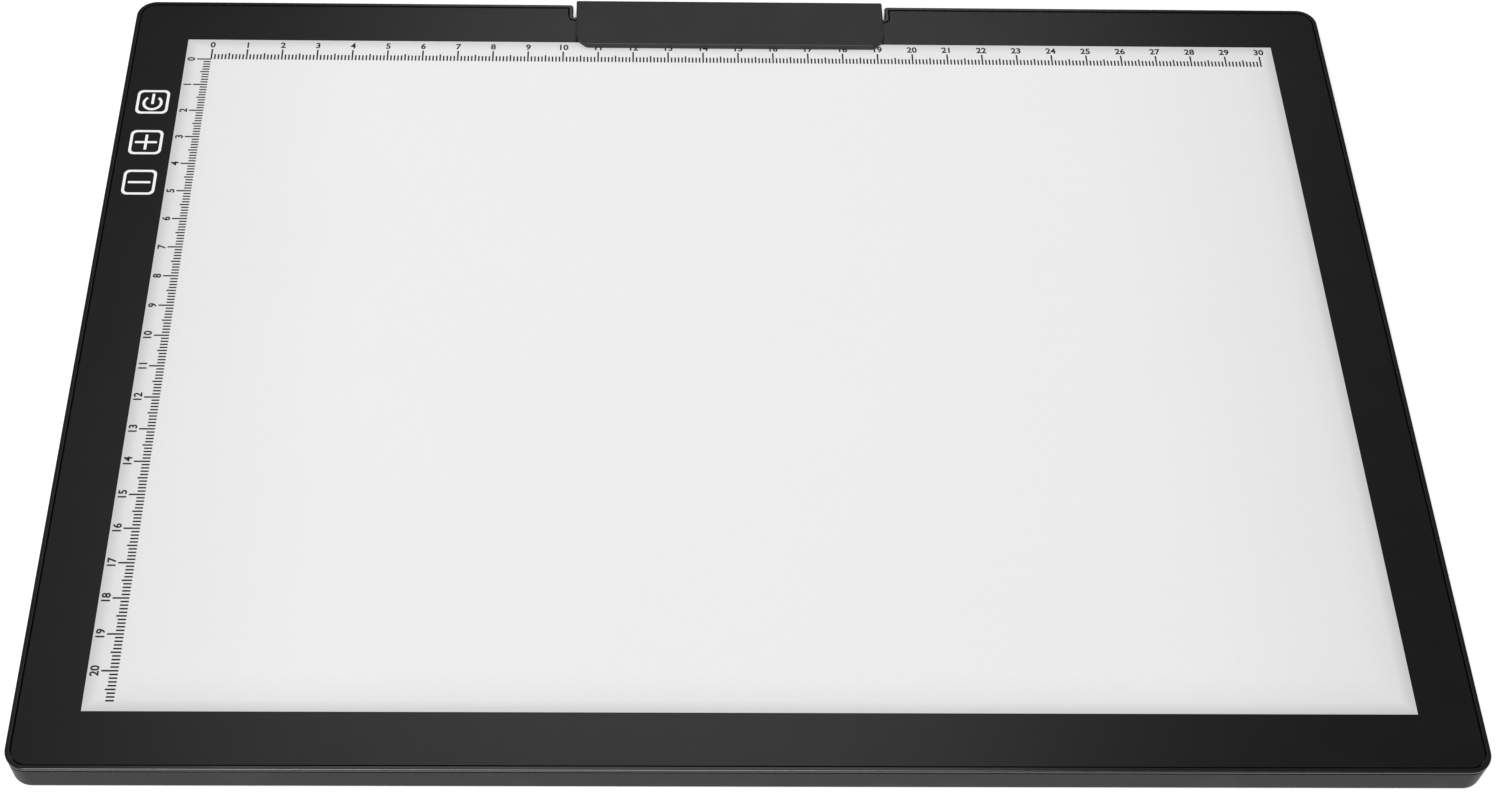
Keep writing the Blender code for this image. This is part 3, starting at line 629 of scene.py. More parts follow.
def turned(bm, profile, place=(0.0, 0.0, 0.0), along_x=False, steps=32):
    """A solid turned from (radius, height) points about an upright axis, or about X, and moved to a place."""
    before = set(bm.verts)
    line = [bm.verts.new((radius, 0.0, height)) for radius, height in profile]
    edges = [bm.edges.new(pair) for pair in zip(line, line[1:])]
    bmesh.ops.spin(bm, geom=[*line, *edges], cent=(0, 0, 0), axis=(0, 0, 1), dvec=(0, 0, 0), angle=math.tau,
                   steps=steps, use_merge=True, use_duplicate=False)
    new = [vert for vert in bm.verts if vert not in before]
    bmesh.ops.remove_doubles(bm, verts=new, dist=WELD)
    new = [vert for vert in bm.verts if vert not in before]
    matrix = Matrix.Translation(place) @ (Matrix.Rotation(math.pi / 2, 4, "Y") if along_x else Matrix())
    bmesh.ops.transform(bm, matrix=matrix, verts=new)


def cylinder(bm, radius, low, high, place=(0.0, 0.0, 0.0), along_x=False, steps=32):
    turned(bm, [(0.0, low), (radius, low), (radius, high), (0.0, high)], place, along_x, steps)


def rod(bm, stretch, radius, steps=32):
    """A plain round rod over a stretch of X on the clip's hinge axis."""
    cylinder(bm, radius, *stretch, (0.0, HINGE.y, HINGE.z), True, steps)


def quarter_round(inner, width, base, height, steps=5):
    """The (radius, height) points of a quarter round after its first one."""
    turns = [math.pi / 2 * step / steps for step in range(1, steps + 1)]
    return [(inner + width * math.sin(turn), base + height * (1 - math.cos(turn))) for turn in turns]


def one_side(side, near, far):
    """A stretch on one side of the middle, its lower end first."""
    return sorted((side * near, side * far))


def extruded(bm, outline, travel):
    """A flat outline of points, carried along a vector."""
    face = bm.faces.new([bm.verts.new(point) for point in outline])
    moved = bmesh.ops.extrude_face_region(bm, geom=[face])["geom"]
    verts = [part for part in moved if isinstance(part, bmesh.types.BMVert)]
    bmesh.ops.translate(bm, vec=travel, verts=verts)
    bmesh.ops.recalc_face_normals(bm, faces=bm.faces)


def solid(shape, *details, **options):
    """A new solid that holds one shape."""
    bm = bmesh.new()
    shape(bm, *details, **options)
    return bm


def loose_object(name, bm):
    bmesh.ops.recalc_face_normals(bm, faces=bm.faces)
    mesh = bpy.data.meshes.new(name)
    bm.to_mesh(mesh)
    bm.free()
    made = bpy.data.objects.new(name, mesh)
    bpy.context.scene.collection.objects.link(made)
    return made


def drop(thing):
    data = thing.data
    bpy.data.objects.remove(thing, do_unlink=True)
    kept_in = bpy.data.meshes if isinstance(data, bpy.types.Mesh) else bpy.data.curves
    kept_in.remove(data)


def combined(bm, *steps):
    """The solid after Boolean steps of (operation, other solid); every solid given is used up."""
    body = loose_object("work_piece", bm)
    helpers = []
    for operation, other in steps:
        helpers.append(loose_object("work_helper", other))
        step = body.modifiers.new(operation, "BOOLEAN")
        step.operation = operation
        step.solver = "EXACT"
        step.object = helpers[-1]
    result = bmesh.new()
    result.from_object(body, bpy.context.evaluated_depsgraph_get())
    for thing in (body, *helpers):
        drop(thing)
    bmesh.ops.remove_doubles(result, verts=result.verts, dist=CLEAN)
    bmesh.ops.dissolve_degenerate(result, edges=result.edges, dist=CLEAN)
    return result


def pad_corners(inset):
    """The pad's corners from above, with the four of its rear notch among them, moved in all round."""
    x = RIM_HIGH.x - inset
    y = RIM_HIGH.y - inset
    notch_x = NOTCH_HALF + inset
    notch_y = RIM_HIGH.y - NOTCH_DEPTH - inset
    return [(-x, -y), (x, -y), (x, y), (notch_x, y), (notch_x, notch_y), (-notch_x, notch_y), (-notch_x, y),
            (-x, y)]


def pad_solid(corner_radius, *levels):
    """A solid with the pad's outline through two (inset, height) levels, its upright edges rounded."""
    bm = bmesh.new()
    rings = []
    for inset, height in levels:
        ring = [bm.verts.new((x, y, height)) for x, y in pad_corners(inset)]
        rings.append([bm.edges.new((ring[index - 1], ring[index])) for index in range(len(ring))])
        bm.faces.new(ring)
    bmesh.ops.bridge_loops(bm, edges=[edge for ring in rings for edge in ring])
    bmesh.ops.recalc_face_normals(bm, faces=bm.faces)
    inset = levels[0][0]
    lip_y = RIM_HIGH.y - NOTCH_DEPTH / 2 - inset
    corners, lips, roots = [], [], []
    for edge in bm.edges:
        middle = middle_of(edge)
        if rise(edge) < TINY:
            continue
        if abs(middle.x) > RIM_HIGH.x / 2:
            corners.append(edge)
        else:
            (lips if middle.y > lip_y else roots).append(edge)
    lip_radius = max(NOTCH_LIP_RADIUS - inset / 2, NOTCH_ROOT_RADIUS)
    for edges, radius, segments in ((corners, corner_radius - inset, 10), (lips, lip_radius, 5),
                                    (roots, NOTCH_ROOT_RADIUS + inset, 4)):
        soften(bm, [edge for edge in edges if edge.is_valid], radius, segments)
    return bm


def edges_at(bm, place, axis=2):
    """The outline edges of a flat end at a place along an axis."""
    return [edge for edge in bm.edges
            if all(abs(vert.co[axis] - place) < TINY for vert in edge.verts) and is_sharp(edge)]


def is_sharp(edge):
    return edge.calc_face_angle(0.0) > SHARP_ANGLE


def add_as_mesh(bm, holder, matrix):
    """A curve or text object made into mesh, then put in place in a bmesh; the object is used up."""
    bpy.context.scene.collection.objects.link(holder)
    shown = holder.evaluated_get(bpy.context.evaluated_depsgraph_get())
    mesh = bpy.data.meshes.new_from_object(shown)
    mesh.transform(matrix)
    bm.from_mesh(mesh)
    bpy.data.meshes.remove(mesh)
    drop(holder)


def lettering(bm, words, ruler, half_thickness, matrix):
    """Flat numbers centred on their own foot line and then put in place."""
    curve = bpy.data.curves.new("number", "FONT")
    curve.body = words
    curve.align_x = "CENTER"
    curve.size = ruler.digit_height / DIGIT_SHARE
    curve.extrude = half_thickness
    curve.offset = ruler.digit_weight
    curve.resolution_u = 3
    add_as_mesh(bm, bpy.data.objects.new("number", curve), matrix)


def piece(name, bm, surface, body="pad", stands_for=(), rides=True):
    """Closes a bmesh into a finished piece that moves with a body."""
    bmesh.ops.remove_doubles(bm, verts=bm.verts, dist=WELD)
    made = loose_object(name, bm)
    made.data.materials.append(surface)
    made.data.shade_smooth()
    made.data.set_sharp_from_angle(angle=CREASE)
    if rides:
        even = made.modifiers.new("even_shading", "WEIGHTED_NORMAL")
        even.keep_sharp = True
        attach(made, body)
    if stands_for:
        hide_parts(*stands_for)
    return made


def centre_of(node):
    low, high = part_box(node)
    return (low + high) / 2


def ground_under(node):
    place = centre_of(node)
    return place.x, place.y, 0.0


# Pieces


def build_rim(casing, plastic):
    corner = casing.corner_radius
    rim = pad_solid(corner, (0.0, LIP_BASE), (0.0, RIM_HIGH.z))
    soften(rim, edges_at(rim, RIM_HIGH.z), casing.rim_round, 4)
    soften(rim, edges_at(rim, LIP_BASE), casing.lip_round, 3)
    skirt = pad_solid(corner, (casing.skirt_inset, LEDGE_BASE), (casing.skirt_inset, LIP_BASE + SEAM))
    pocket = pad_solid(corner, (casing.rim_width, LEDGE_TOP), (casing.rim_width, RIM_HIGH.z + OVERRUN))

    below = LEDGE_BASE - OVERRUN
    stack_room = solid(block, (STACK_LOW.x - LEDGE_GAP_X, STACK_LOW.y - LEDGE_GAP_Y, below),
                       (STACK_HIGH.x + LEDGE_GAP_X, STACK_HIGH.y + LEDGE_GAP_Y, RIM_HIGH.z))
    key_window = solid(block, (BOARD_LOW.x - SEAM, KEY_WINDOW_Y[0], below),
                       (STACK_LOW.x - KEY_WINDOW_GAP, KEY_WINDOW_Y[1], RIM_HIGH.z))
    towers = bmesh.new()
    pilots = bmesh.new()
    for node in SCREW_NODES:
        foot = ground_under(node)
        cylinder(towers, TOWER_RADIUS, STACK_LOW.z, LEDGE_BASE + SEAM, foot)
        cylinder(pilots, SCREW_SHANK + SEAM, PILOT_START, LEDGE_BASE - TINY, foot, steps=16)
    rim = combined(rim, (ADD, skirt), (CUT, pocket), (CUT, stack_room), (CUT, key_window), (ADD, towers),
                   (CUT, pilots))
    soften(rim, edges_at(rim, RIM_HIGH.z), casing.groove_round, 2)
    piece("casing_rim", rim, plastic, stands_for=["top_frame"])


def build_tray(casing, plastic):
    corner = casing.corner_radius
    top = TRAY_HIGH.z - casing.seam_extra
    over = top + OVERRUN
    foot_inset = casing.tray_inset + casing.tray_draft
    tray = pad_solid(corner, (foot_inset, TRAY_LOW.z), (casing.tray_inset, top))
    soften(tray, edges_at(tray, TRAY_LOW.z), casing.tray_round, 5)
    soften(tray, edges_at(tray, top), casing.seam_round, 2)
    hollow = pad_solid(corner, (foot_inset + casing.wall, FLOOR_TOP), (casing.tray_inset + casing.wall, over))
    rebate_inset = casing.skirt_inset - SEAM
    rebate = pad_solid(corner, (rebate_inset, REBATE_BASE), (rebate_inset, over))

    footing = FLOOR_TOP - SEAM
    ribs = bmesh.new()
    for y in RIB_ROWS:
        block(ribs, (-RIB_REACH, y, footing), (RIB_REACH, y + RIB_THICKNESS, RIB_TOP))
    cross_ribs = bmesh.new()
    for x, y in CROSS_RIBS:
        block(cross_ribs, (x, y, footing), (x + RIB_THICKNESS, RIB_ROWS[-1] + RIB_THICKNESS, RIB_TOP))
    bosses = bmesh.new()
    holes = bmesh.new()
    head = SCREW_HEAD + SEAM
    shank = SCREW_SHANK + SEAM
    for node in SCREW_NODES:
        foot = ground_under(node)
        cylinder(bosses, BOSS_RADIUS, footing, RIB_TOP, foot)
        turned(holes, [(0.0, 0.0), (head, 0.0), (head, SCREW_SEAT), (shank, SCREW_SEAT), (shank, REBATE_BASE),
                       (0.0, REBATE_BASE)], foot)
    for node in FOOT_NODES:
        low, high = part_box(node)
        cylinder(holes, (high.x - low.x) / 2 + SEAM, 0.0, high.z + SEAM, ground_under(node), steps=48)
    cheeks = bmesh.new()
    bores = bmesh.new()
    for side in SIDES:
        x_low, x_high = one_side(side, *CHEEK_X)
        block(cheeks, (x_low, CHEEK_Y[0], footing), (x_high, CHEEK_Y[1], REBATE_BASE - SEAM))
        rod(bores, one_side(side, CLIP_HIGH.x - SEAM, PIN_HIGH.x + SEAM), PIN_BORE)

    outside = TRAY_LOW.x - 2 * OVERRUN
    inside = outside + PORT_REACH
    port = solid(rounded_block, (outside, SOCKET_LOW.y - SEAM, SOCKET_LOW.z - SEAM),
                 (inside, SOCKET_HIGH.y + SEAM, SOCKET_HIGH.z + SEAM), PORT_RADIUS, "X")
    lens = centre_of("charge_indicator")
    lens_hole = solid(cylinder, LENS_RADIUS + SEAM / 2, outside, inside, (0.0, lens.y, lens.z), True)
    tray = combined(tray, (CUT, hollow), (CUT, rebate), (ADD, ribs), (ADD, cross_ribs), (ADD, bosses),
                    (ADD, cheeks), (CUT, holes), (CUT, bores), (CUT, port), (CUT, lens_hole))
    piece("casing_tray", tray, plastic, stands_for=["lower_shell"])


def window_edges(panel):
    """Left, right, front and rear edges of the white window."""
    half_x = panel.window_width / 2
    half_y = panel.window_depth / 2
    return panel.window_right - half_x, panel.window_right + half_x, -half_y, half_y


def build_panel(panel, casing):
    corner = casing.corner_radius
    inset = RIM_HIGH.x - SHEET_HIGH.x
    top = SHEET_HIGH.z
    sheet = pad_solid(corner, (inset, SHEET_LOW.z), (inset, top))
    soften(sheet, edges_at(sheet, top), panel.edge_round, 3)
    piece("opal_sheet", sheet, opal_acrylic(panel), stands_for=["drawing_panel"])

    left, right, front, rear = window_edges(panel)
    low = top - panel.ink_thickness
    high = top + panel.ink_thickness
    border_inset = inset + panel.edge_round
    border = pad_solid(corner, (border_inset, low), (border_inset, high))
    window = solid(block, (left, front, low - OVERRUN), (right, rear, high + OVERRUN))
    ink = printed_ink("satin border ink", tuple(panel.border_colour), 0.30)
    piece("border_print", combined(border, (CUT, window)), ink)


def mark_length(ruler, index):
    if index % 10 == 0:
        return ruler.long_mark
    return ruler.middle_mark if index % 5 == 0 else ruler.short_mark


def build_ruler(name, ruler, count, step, digit_gap, thick, place, ink):
    """A ruler along X from its zero mark, in steps of a millimetre, then put in place."""
    half = ruler.stroke / 2
    marks = bmesh.new()
    numbers = bmesh.new()
    for index in range(count + 1):
        x = index * step
        block(marks, (x - half, 0.0, -thick), (x + half, mark_length(ruler, index), thick))
        if index % 10 == 0:
            foot = Matrix.Translation((x, digit_gap, 0.0))
            lettering(numbers, str(index // 10), ruler, thick, place @ foot)
    marks.transform(place)
    piece(f"{name}_ruler_marks", marks, ink)
    piece(f"{name}_ruler_numbers", numbers, ink)


def build_rulers(ruler, panel):
    left, _, _, rear = window_edges(panel)
    zero = Matrix.Translation((left + ruler.left_band, rear - ruler.rear_band, SHEET_HIGH.z))
    quarter_turn = Matrix.Rotation(math.pi / 2, 4, "Z")
    thick = panel.ink_thickness
    ink = printed_ink("ruler ink", tuple(ruler.colour), 0.50, cover=0.30)
    build_ruler("rear", ruler, ruler.rear_marks, MILLIMETRE, ruler.rear_digit_gap, thick, zero, ink)
    upright = zero @ quarter_turn
    build_ruler("left", ruler, ruler.left_marks, -MILLIMETRE, ruler.left_digit_gap, thick, upright, ink)


def add_power_symbol(bm, x, y, levels, keys):
    """An open ring with a bar in its gap."""
    low, high = levels
    half = keys.stroke / 2
    radius = keys.ring / 2 - half
    section = [(radius - half, low), (radius + half, low), (radius + half, high), (radius - half, high)]
    gap = keys.ring_gap
    face = bm.faces.new([bm.verts.new((r, 0.0, z)) for r, z in section])
    bmesh.ops.rotate(bm, verts=bm.verts, cent=(0, 0, 0), matrix=Matrix.Rotation(math.pi / 2 + gap, 3, "Z"))
    bmesh.ops.spin(bm, geom=[face, *face.edges, *face.verts], cent=(0, 0, 0), axis=(0, 0, 1), dvec=(0, 0, 0),
                   angle=math.tau - 2 * gap, steps=40, use_duplicate=False)
    bmesh.ops.translate(bm, vec=(x, y - keys.ring_drop, 0.0), verts=bm.verts)
    bar_half = (keys.bar_top + keys.bar_foot) / 2
    plate(bm, (x, y + keys.bar_top - bar_half), (half, bar_half), levels, half / 2)


def build_keys(keys, panel):
    ink = printed_ink("white key ink", tuple(keys.colour), 0.45, cover=0.04)
    levels = (SHEET_HIGH.z, SHEET_HIGH.z + 2 * panel.ink_thickness)
    x = window_edges(panel)[0] - keys.centre_left
    half = keys.side / 2
    stroke = keys.stroke
    inner = half - stroke
    arm = keys.symbol / 2
    for name, node in KEY_NODES.items():
        y = centre_of(node).y
        outline = solid(plate, (x, y), (half, half), levels, keys.radius, 8)
        hole = solid(plate, (x, y), (inner, inner), (levels[0] - OVERRUN, levels[1] + OVERRUN),
                     keys.radius - stroke * 0.6, 8)
        outline = combined(outline, (CUT, hole))
        if name == "power":
            symbol = solid(add_power_symbol, x, y, levels, keys)
        else:
            symbol = solid(plate, (x, y), (arm, stroke / 2), levels, stroke / 4)
        if name == "plus":
            upright = solid(plate, (x, y), (stroke / 2, arm * 0.92), levels, stroke / 4)
            symbol = combined(symbol, (ADD, upright))
        piece(f"key_outline_{name}", outline, ink)
        piece(f"key_symbol_{name}", symbol, ink)


def clip_plate(clip, under):
    """The clip's plate and skirt, with its front corners cut and its outer edges rounded."""
    half = CLIP_HIGH.x
    front, rear = CLIP_LOW.y, CLIP_HIGH.y
    base, top = STRIP_LOW.z, CLIP_HIGH.z
    front_top = top - clip.front_height
    pocket_rear = STRIP_HIGH.y + SEAM
    skirt_front = rear - clip.skirt
    section = [(front, base), (front, front_top), (rear, top), (rear, CLIP_SKIRT_BASE),
               (skirt_front, CLIP_SKIRT_BASE), (skirt_front, under), (pocket_rear, under),
               (pocket_rear, base)]
    bm = solid(extruded, [(-half, y, z) for y, z in section], (2 * half, 0.0, 0.0))
    for side in SIDES:
        corner = (side * (half - clip.chamfer), front, 0.0)
        cut = bmesh.ops.bisect_plane(bm, geom=[*bm.verts, *bm.edges, *bm.faces], clear_outer=True,
                                     plane_co=corner, plane_no=(side, -1, 0))
        edges = [part for part in cut["geom_cut"] if isinstance(part, bmesh.types.BMEdge)]
        bmesh.ops.edgeloop_fill(bm, edges=edges)
    bmesh.ops.recalc_face_normals(bm, faces=bm.faces)
    soften(bm, [edge for edge in bm.edges if all(
        abs(v.co.y - rear) < TINY and abs(v.co.z - top) < TINY for v in edge.verts)], clip.rear_round, 7)
    soften(bm, [edge for edge in bm.edges if rise(edge) > 0.001
                and all(v.co.y < front + clip.chamfer + TINY for v in edge.verts)], clip.corner_round, 4)
    outer = []
    for edge in bm.edges:
        middle = middle_of(edge)
        on_top = middle.z > front_top - TINY
        on_skirt_end = middle.y > skirt_front + TINY and abs(middle.x) > half - TINY
        if edge.calc_face_angle(0.0) >= SHARP_ANGLE and edge.is_convex and (on_top or on_skirt_end):
            outer.append(edge)
    soften(bm, outer, clip.edge_round, 3)
    return bm


def build_clip(clip, plastic, rubber):
    half = CLIP_HIGH.x
    base = STRIP_LOW.z
    under = base + CLIP_RECESS
    body = clip_plate(clip, under)
    pocket = solid(block, (STRIP_LOW.x - SEAM, STRIP_LOW.y - SEAM, base - OVERRUN),
                   (STRIP_HIGH.x + SEAM, STRIP_HIGH.y + SEAM - TINY, STRIP_HIGH.z + SEAM))
    web_front = HINGE.y - BARREL_RADIUS
    web_rear = CLIP_HIGH.y - clip.skirt / 2
    web_top = under + SEAM
    web = solid(block, (-BARREL_HALF, web_front, HINGE.z), (BARREL_HALF, web_rear, web_top))
    barrel = solid(rod, (-BARREL_HALF, BARREL_HALF), BARREL_RADIUS, 40)
    walls = bmesh.new()
    round_walls = bmesh.new()
    bores = bmesh.new()
    for side in SIDES:
        x_low, x_high = one_side(side, CLIP_END_WALL, half - TINY)
        block(walls, (x_low, web_front, HINGE.z), (x_high, web_rear, web_top))
        rod(round_walls, (x_low, x_high), BARREL_RADIUS, 40)
        rod(bores, one_side(side, PIN_LOW.x - SEAM, half + OVERRUN), PIN_BORE)
    heel = solid(block, (-HEEL_HALF_X, HINGE.y - HEEL_HALF_Y, CLIP_LOW.z),
                 (HEEL_HALF_X, HINGE.y + HEEL_HALF_Y, HINGE.z))
    body = combined(body, (CUT, pocket), (ADD, web), (ADD, barrel), (ADD, walls), (ADD, round_walls),
                    (ADD, heel), (CUT, bores))
    piece("clip_body", body, plastic, "clip", ["clip_bar"])

    grip = solid(rounded_block, STRIP_LOW, STRIP_HIGH, 0.0004, "Z", 3)
    soften(grip, edges_at(grip, STRIP_LOW.z), 0.0001, 2)
    piece("grip_strip", grip, rubber, "clip", ["clip_grip_strip"])


def build_hinge(steel, spring_steel):
    radius = (PIN_HIGH.z - PIN_LOW.z) / 2
    chamfer = radius * 0.3
    for name, side in (("right", 1), ("left", -1)):
        low, high = one_side(side, PIN_LOW.x, PIN_HIGH.x)
        profile = [(0.0, low), (radius - chamfer, low), (radius, low + chamfer), (radius, high - chamfer),
                   (radius - chamfer, high), (0.0, high)]
        pin = solid(turned, profile, (0.0, HINGE.y, HINGE.z), True, 24)
        piece(f"pin_{name}", pin, steel, stands_for=[f"hinge_pin_{name}"])
        build_spring(name, side, spring_steel)


def build_spring(name, side, spring_steel):
    """A torsion spring: a leg on the tray's floor, the coil round the pin and a leg under the clip."""
    inner_end = SPRING_LOW.x + WIRE_RADIUS
    outer_end = SPRING_HIGH.x - WIRE_RADIUS
    steps = 24
    total = int(SPRING_TURNS * steps)
    coil_foot = HINGE.z - COIL_RADIUS
    leg = [(0.0019, 0.0004), (0.0008, 0.00012)]
    route = [Vector((outer_end, HINGE.y - reach, coil_foot - drop_by)) for reach, drop_by in leg]
    for step in range(total + 1):
        turn = math.tau * step / steps - math.pi / 2
        route.append(Vector((outer_end + (inner_end - outer_end) * step / total,
                             HINGE.y + COIL_RADIUS * math.cos(turn), HINGE.z + COIL_RADIUS * math.sin(turn))))
    route.append(Vector((inner_end, HINGE.y - COIL_RADIUS, SPRING_HIGH.z - WIRE_RADIUS / 2)))
    curve = bpy.data.curves.new("spring_wire", "CURVE")
    curve.dimensions = "3D"
    curve.bevel_depth = WIRE_RADIUS
    curve.bevel_resolution = 2
    curve.use_fill_caps = True
    spline = curve.splines.new("POLY")
    spline.points.add(len(route) - 1)
    for point, place in zip(spline.points, route):
        point.co = (side * place.x, place.y, place.z, 1.0)
    bm = solid(add_as_mesh, bpy.data.objects.new("spring_wire", curve), Matrix())
    spring = piece(f"spring_{name}", bm, spring_steel, stands_for=[f"clip_spring_{name}"],
                   rides=False)
    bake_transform(spring)


def build_feet(rubber):
    """Round feet with a shallow dish in the sole."""
    dish = 0.00012
    sole_rim = 0.0010
    dish_slope = 0.0002
    rounding = 0.00035
    for node in FOOT_NODES:
        low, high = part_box(node)
        radius = (high.x - low.x) / 2
        inner = radius - rounding
        dish_radius = radius - sole_rim
        profile = [(0.0, dish), (dish_radius - dish_slope, dish), (dish_radius, 0.0), (inner, 0.0),
                   *quarter_round(inner, rounding, 0.0, rounding, 4), (radius, high.z), (0.0, high.z)]
        foot = solid(turned, profile, ground_under(node), steps=48)
        piece(node.replace("foot", "rubber_foot"), foot, rubber, stands_for=[node])


def build_screws(steel):
    """Pan head screws with a cross recess, made once and set at each place."""
    low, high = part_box(SCREW_NODES[0])
    head = low.z
    seat = SCREW_SEAT - SEAM
    dome = 0.0006
    edge = 0.0001
    plain_neck = 0.0004
    profile = [(0.0, head), *quarter_round(SCREW_HEAD - dome, dome, head, dome * 0.75),
               (SCREW_HEAD, seat - edge), (SCREW_HEAD - edge, seat), (SCREW_SHANK, seat)]
    root = SCREW_SHANK - THREAD_DEPTH
    z = seat + plain_neck
    while z < high.z - THREAD_PITCH:
        profile += [(root, z), (SCREW_SHANK, z + THREAD_PITCH / 2), (root, z + THREAD_PITCH)]
        z += THREAD_PITCH
    profile += [(SCREW_SHANK * 0.5, high.z - edge), (0.0, high.z)]
    recess_top = head + RECESS_DEPTH
    arms = []
    for x_half, y_half in ((RECESS_LONG, RECESS_SHORT), (RECESS_SHORT, RECESS_LONG)):
        arm = bmesh.new()
        verts = block(arm, (-x_half, -y_half, head - OVERRUN / 2), (x_half, y_half, recess_top))
        deep = [vert for vert in verts if vert.co.z > recess_top - TINY]
        bmesh.ops.scale(arm, vec=(RECESS_TAPER, RECESS_TAPER, 1.0), verts=deep)
        arms.append((CUT, arm))
    template = loose_object("screw_template", combined(solid(turned, profile), *arms))
    for node in SCREW_NODES:
        x, y, _ = ground_under(node)
        screw = bmesh.new()
        screw.from_mesh(template.data)
        turn = (x * 40.0 + y * 90.0) % math.tau
        screw.transform(Matrix.Translation((x, y, 0.0)) @ Matrix.Rotation(turn, 4, "Z"))
        piece(node.replace("shell_screw", "case_screw"), screw, steel, stands_for=[node])
    drop(template)


def build_socket(steel, black, gold):
    size = SOCKET_HIGH - SOCKET_LOW
    middle = centre_of("usb_socket")
    wall = 0.0003
    back_wall = 0.0008
    outer_radius = size.z / 2 - 0.0001
    shell = solid(rounded_block, SOCKET_LOW, SOCKET_HIGH, outer_radius, "X", 8)
    mouth = solid(rounded_block, (SOCKET_LOW.x - OVERRUN, SOCKET_LOW.y + wall, SOCKET_LOW.z + wall),
                  (SOCKET_HIGH.x - back_wall, SOCKET_HIGH.y - wall, SOCKET_HIGH.z - wall),
                  outer_radius - wall, "X", 8)
    shell = combined(shell, (CUT, mouth))
    soften(shell, edges_at(shell, SOCKET_LOW.x, 0), 0.00008, 2)
    piece("socket_shell", shell, steel, stands_for=["usb_socket"])

    front = SOCKET_LOW.x + TONGUE_SETBACK
    back = SOCKET_HIGH.x - back_wall + TONGUE_ROOT
    half_y, half_z = TONGUE_HALF
    tongue = solid(rounded_block, (front, middle.y - half_y, middle.z - half_z),
                   (back, middle.y + half_y, middle.z + half_z), 0.0002, "X", 3)
    piece("socket_tongue", tongue, black)
    contacts = bmesh.new()
    for index in range(CONTACTS):
        y = middle.y + (index - (CONTACTS - 1) / 2) * CONTACT_PITCH
        for side in SIDES:
            face = one_side(side, half_z - CONTACT_SUNK, half_z + CONTACT_PROUD)
            z_low, z_high = (middle.z + z for z in face)
            block(contacts, (front + 0.0003, y - CONTACT_HALF, z_low),
                  (back - 0.0004, y + CONTACT_HALF, z_high))
    piece("socket_contacts", contacts, gold)


def build_charge_light(milky):
    """A round light pipe with a slightly domed end."""
    place = centre_of("charge_indicator")
    profile = [(0.0, LIGHT_LOW.x), *quarter_round(0.0, LENS_RADIUS, LIGHT_LOW.x, 0.00025),
               (LENS_RADIUS, LIGHT_HIGH.x), (0.0, LIGHT_HIGH.x)]
    pipe = solid(turned, profile, (0.0, place.y, place.z), True)
    piece("charge_light", pipe, milky, stands_for=["charge_indicator"])


def dress_inner_parts():
    """Gives the packed parts that stay their own finishes."""
    film = light_film("white film", (0.88, 0.88, 0.88))
    jacket = lead_jacket()
    strip = led_strip()
    foam = open_foam()
    finishes = {
        "diffuser_film": film, "reflector_sheet": film, "light_guide": light_guide(),
        "led_strip_front": strip, "led_strip_rear": strip, "control_board": circuit_board(),
        "battery_cell": pouch_foil(), "battery_lead": jacket, "led_lead_front": jacket,
        "led_lead_rear": jacket, **{node: foam for node in KEY_NODES.values()},
    }
    for node, surface in finishes.items():
        mesh = frame["nodes"][node].data
        mesh.materials.clear()
        mesh.materials.append(surface)


# Stage


def softbox(name, place, aim, size, power, turn=0.0):
    light = bpy.data.lights.new(name, "AREA")
    light.shape = "RECTANGLE"
    light.size, light.size_y = size
    light.energy = power
    lamp = bpy.data.objects.new(name, light)
    lamp.location = place
    facing = (Vector(aim) - Vector(place)).to_track_quat("-Z", "Y").to_matrix()
    lamp.rotation_euler = (Matrix.Rotation(turn, 3, "Z") @ facing).to_euler()
    bpy.context.scene.collection.objects.link(lamp)


def build_stage(stage):
    scene = bpy.context.scene
    scene.view_settings.view_transform = "Standard"
    bm = bmesh.new()
    bmesh.ops.create_grid(bm, x_segments=8, y_segments=8, size=6.0)
    floor = loose_object("floor", bm)
    floor.data.materials.append(pale_floor(stage))

    room = bpy.data.worlds.new("grey room")
    room.use_nodes = True
    background = room.node_tree.nodes["Background"]
    background.inputs["Color"].default_value = (1.0, 1.0, 1.0, 1.0)
    background.inputs["Strength"].default_value = stage.room
    scene.world = room

    middle = Vector((0.0, 0.0, SHEET_HIGH.z))
    softbox("front_softbox", stage.key_place, middle, SOFTBOX_SIZE, stage.key_power)
    card = Vector(stage.card_place)
    below_card = card - Vector((0.0, 0.0, 1.0))
    softbox("overhead_card", card, below_card, CARD_SIZE, stage.card_power, stage.card_turn)

    camera = bpy.data.cameras.new("camera")
    camera.lens = stage.lens
    camera.sensor_width = 36.0
    camera.shift_x = stage.shift_right
    camera.shift_y = stage.shift_up
    camera.clip_start = 0.01
    holder = bpy.data.objects.new("camera", camera)
    holder.location = stage.camera_place
    holder.rotation_euler = (stage.camera_tilt, stage.camera_roll, stage.camera_turn)
    scene.collection.objects.link(holder)
    scene.camera = holder


# Operators and panel


class LIGHTBOX_OT_casing(bpy.types.Operator):
    """Build the rim and the tray of the casing"""

    bl_idname = "light_box.casing"
    bl_label = "Casing"

    def execute(self, context):
        casing = context.scene.light_box_casing
        polished = moulded_plastic("polished black plastic", tuple(casing.colour), casing.rim_roughness,
                                   depth=0.000006, specular=0.60)
        matt = moulded_plastic("matt black plastic", tuple(casing.tray_colour), casing.tray_roughness,
                               specular=0.19)
        build_rim(casing, polished)
        build_tray(casing, matt)
        return {"FINISHED"}


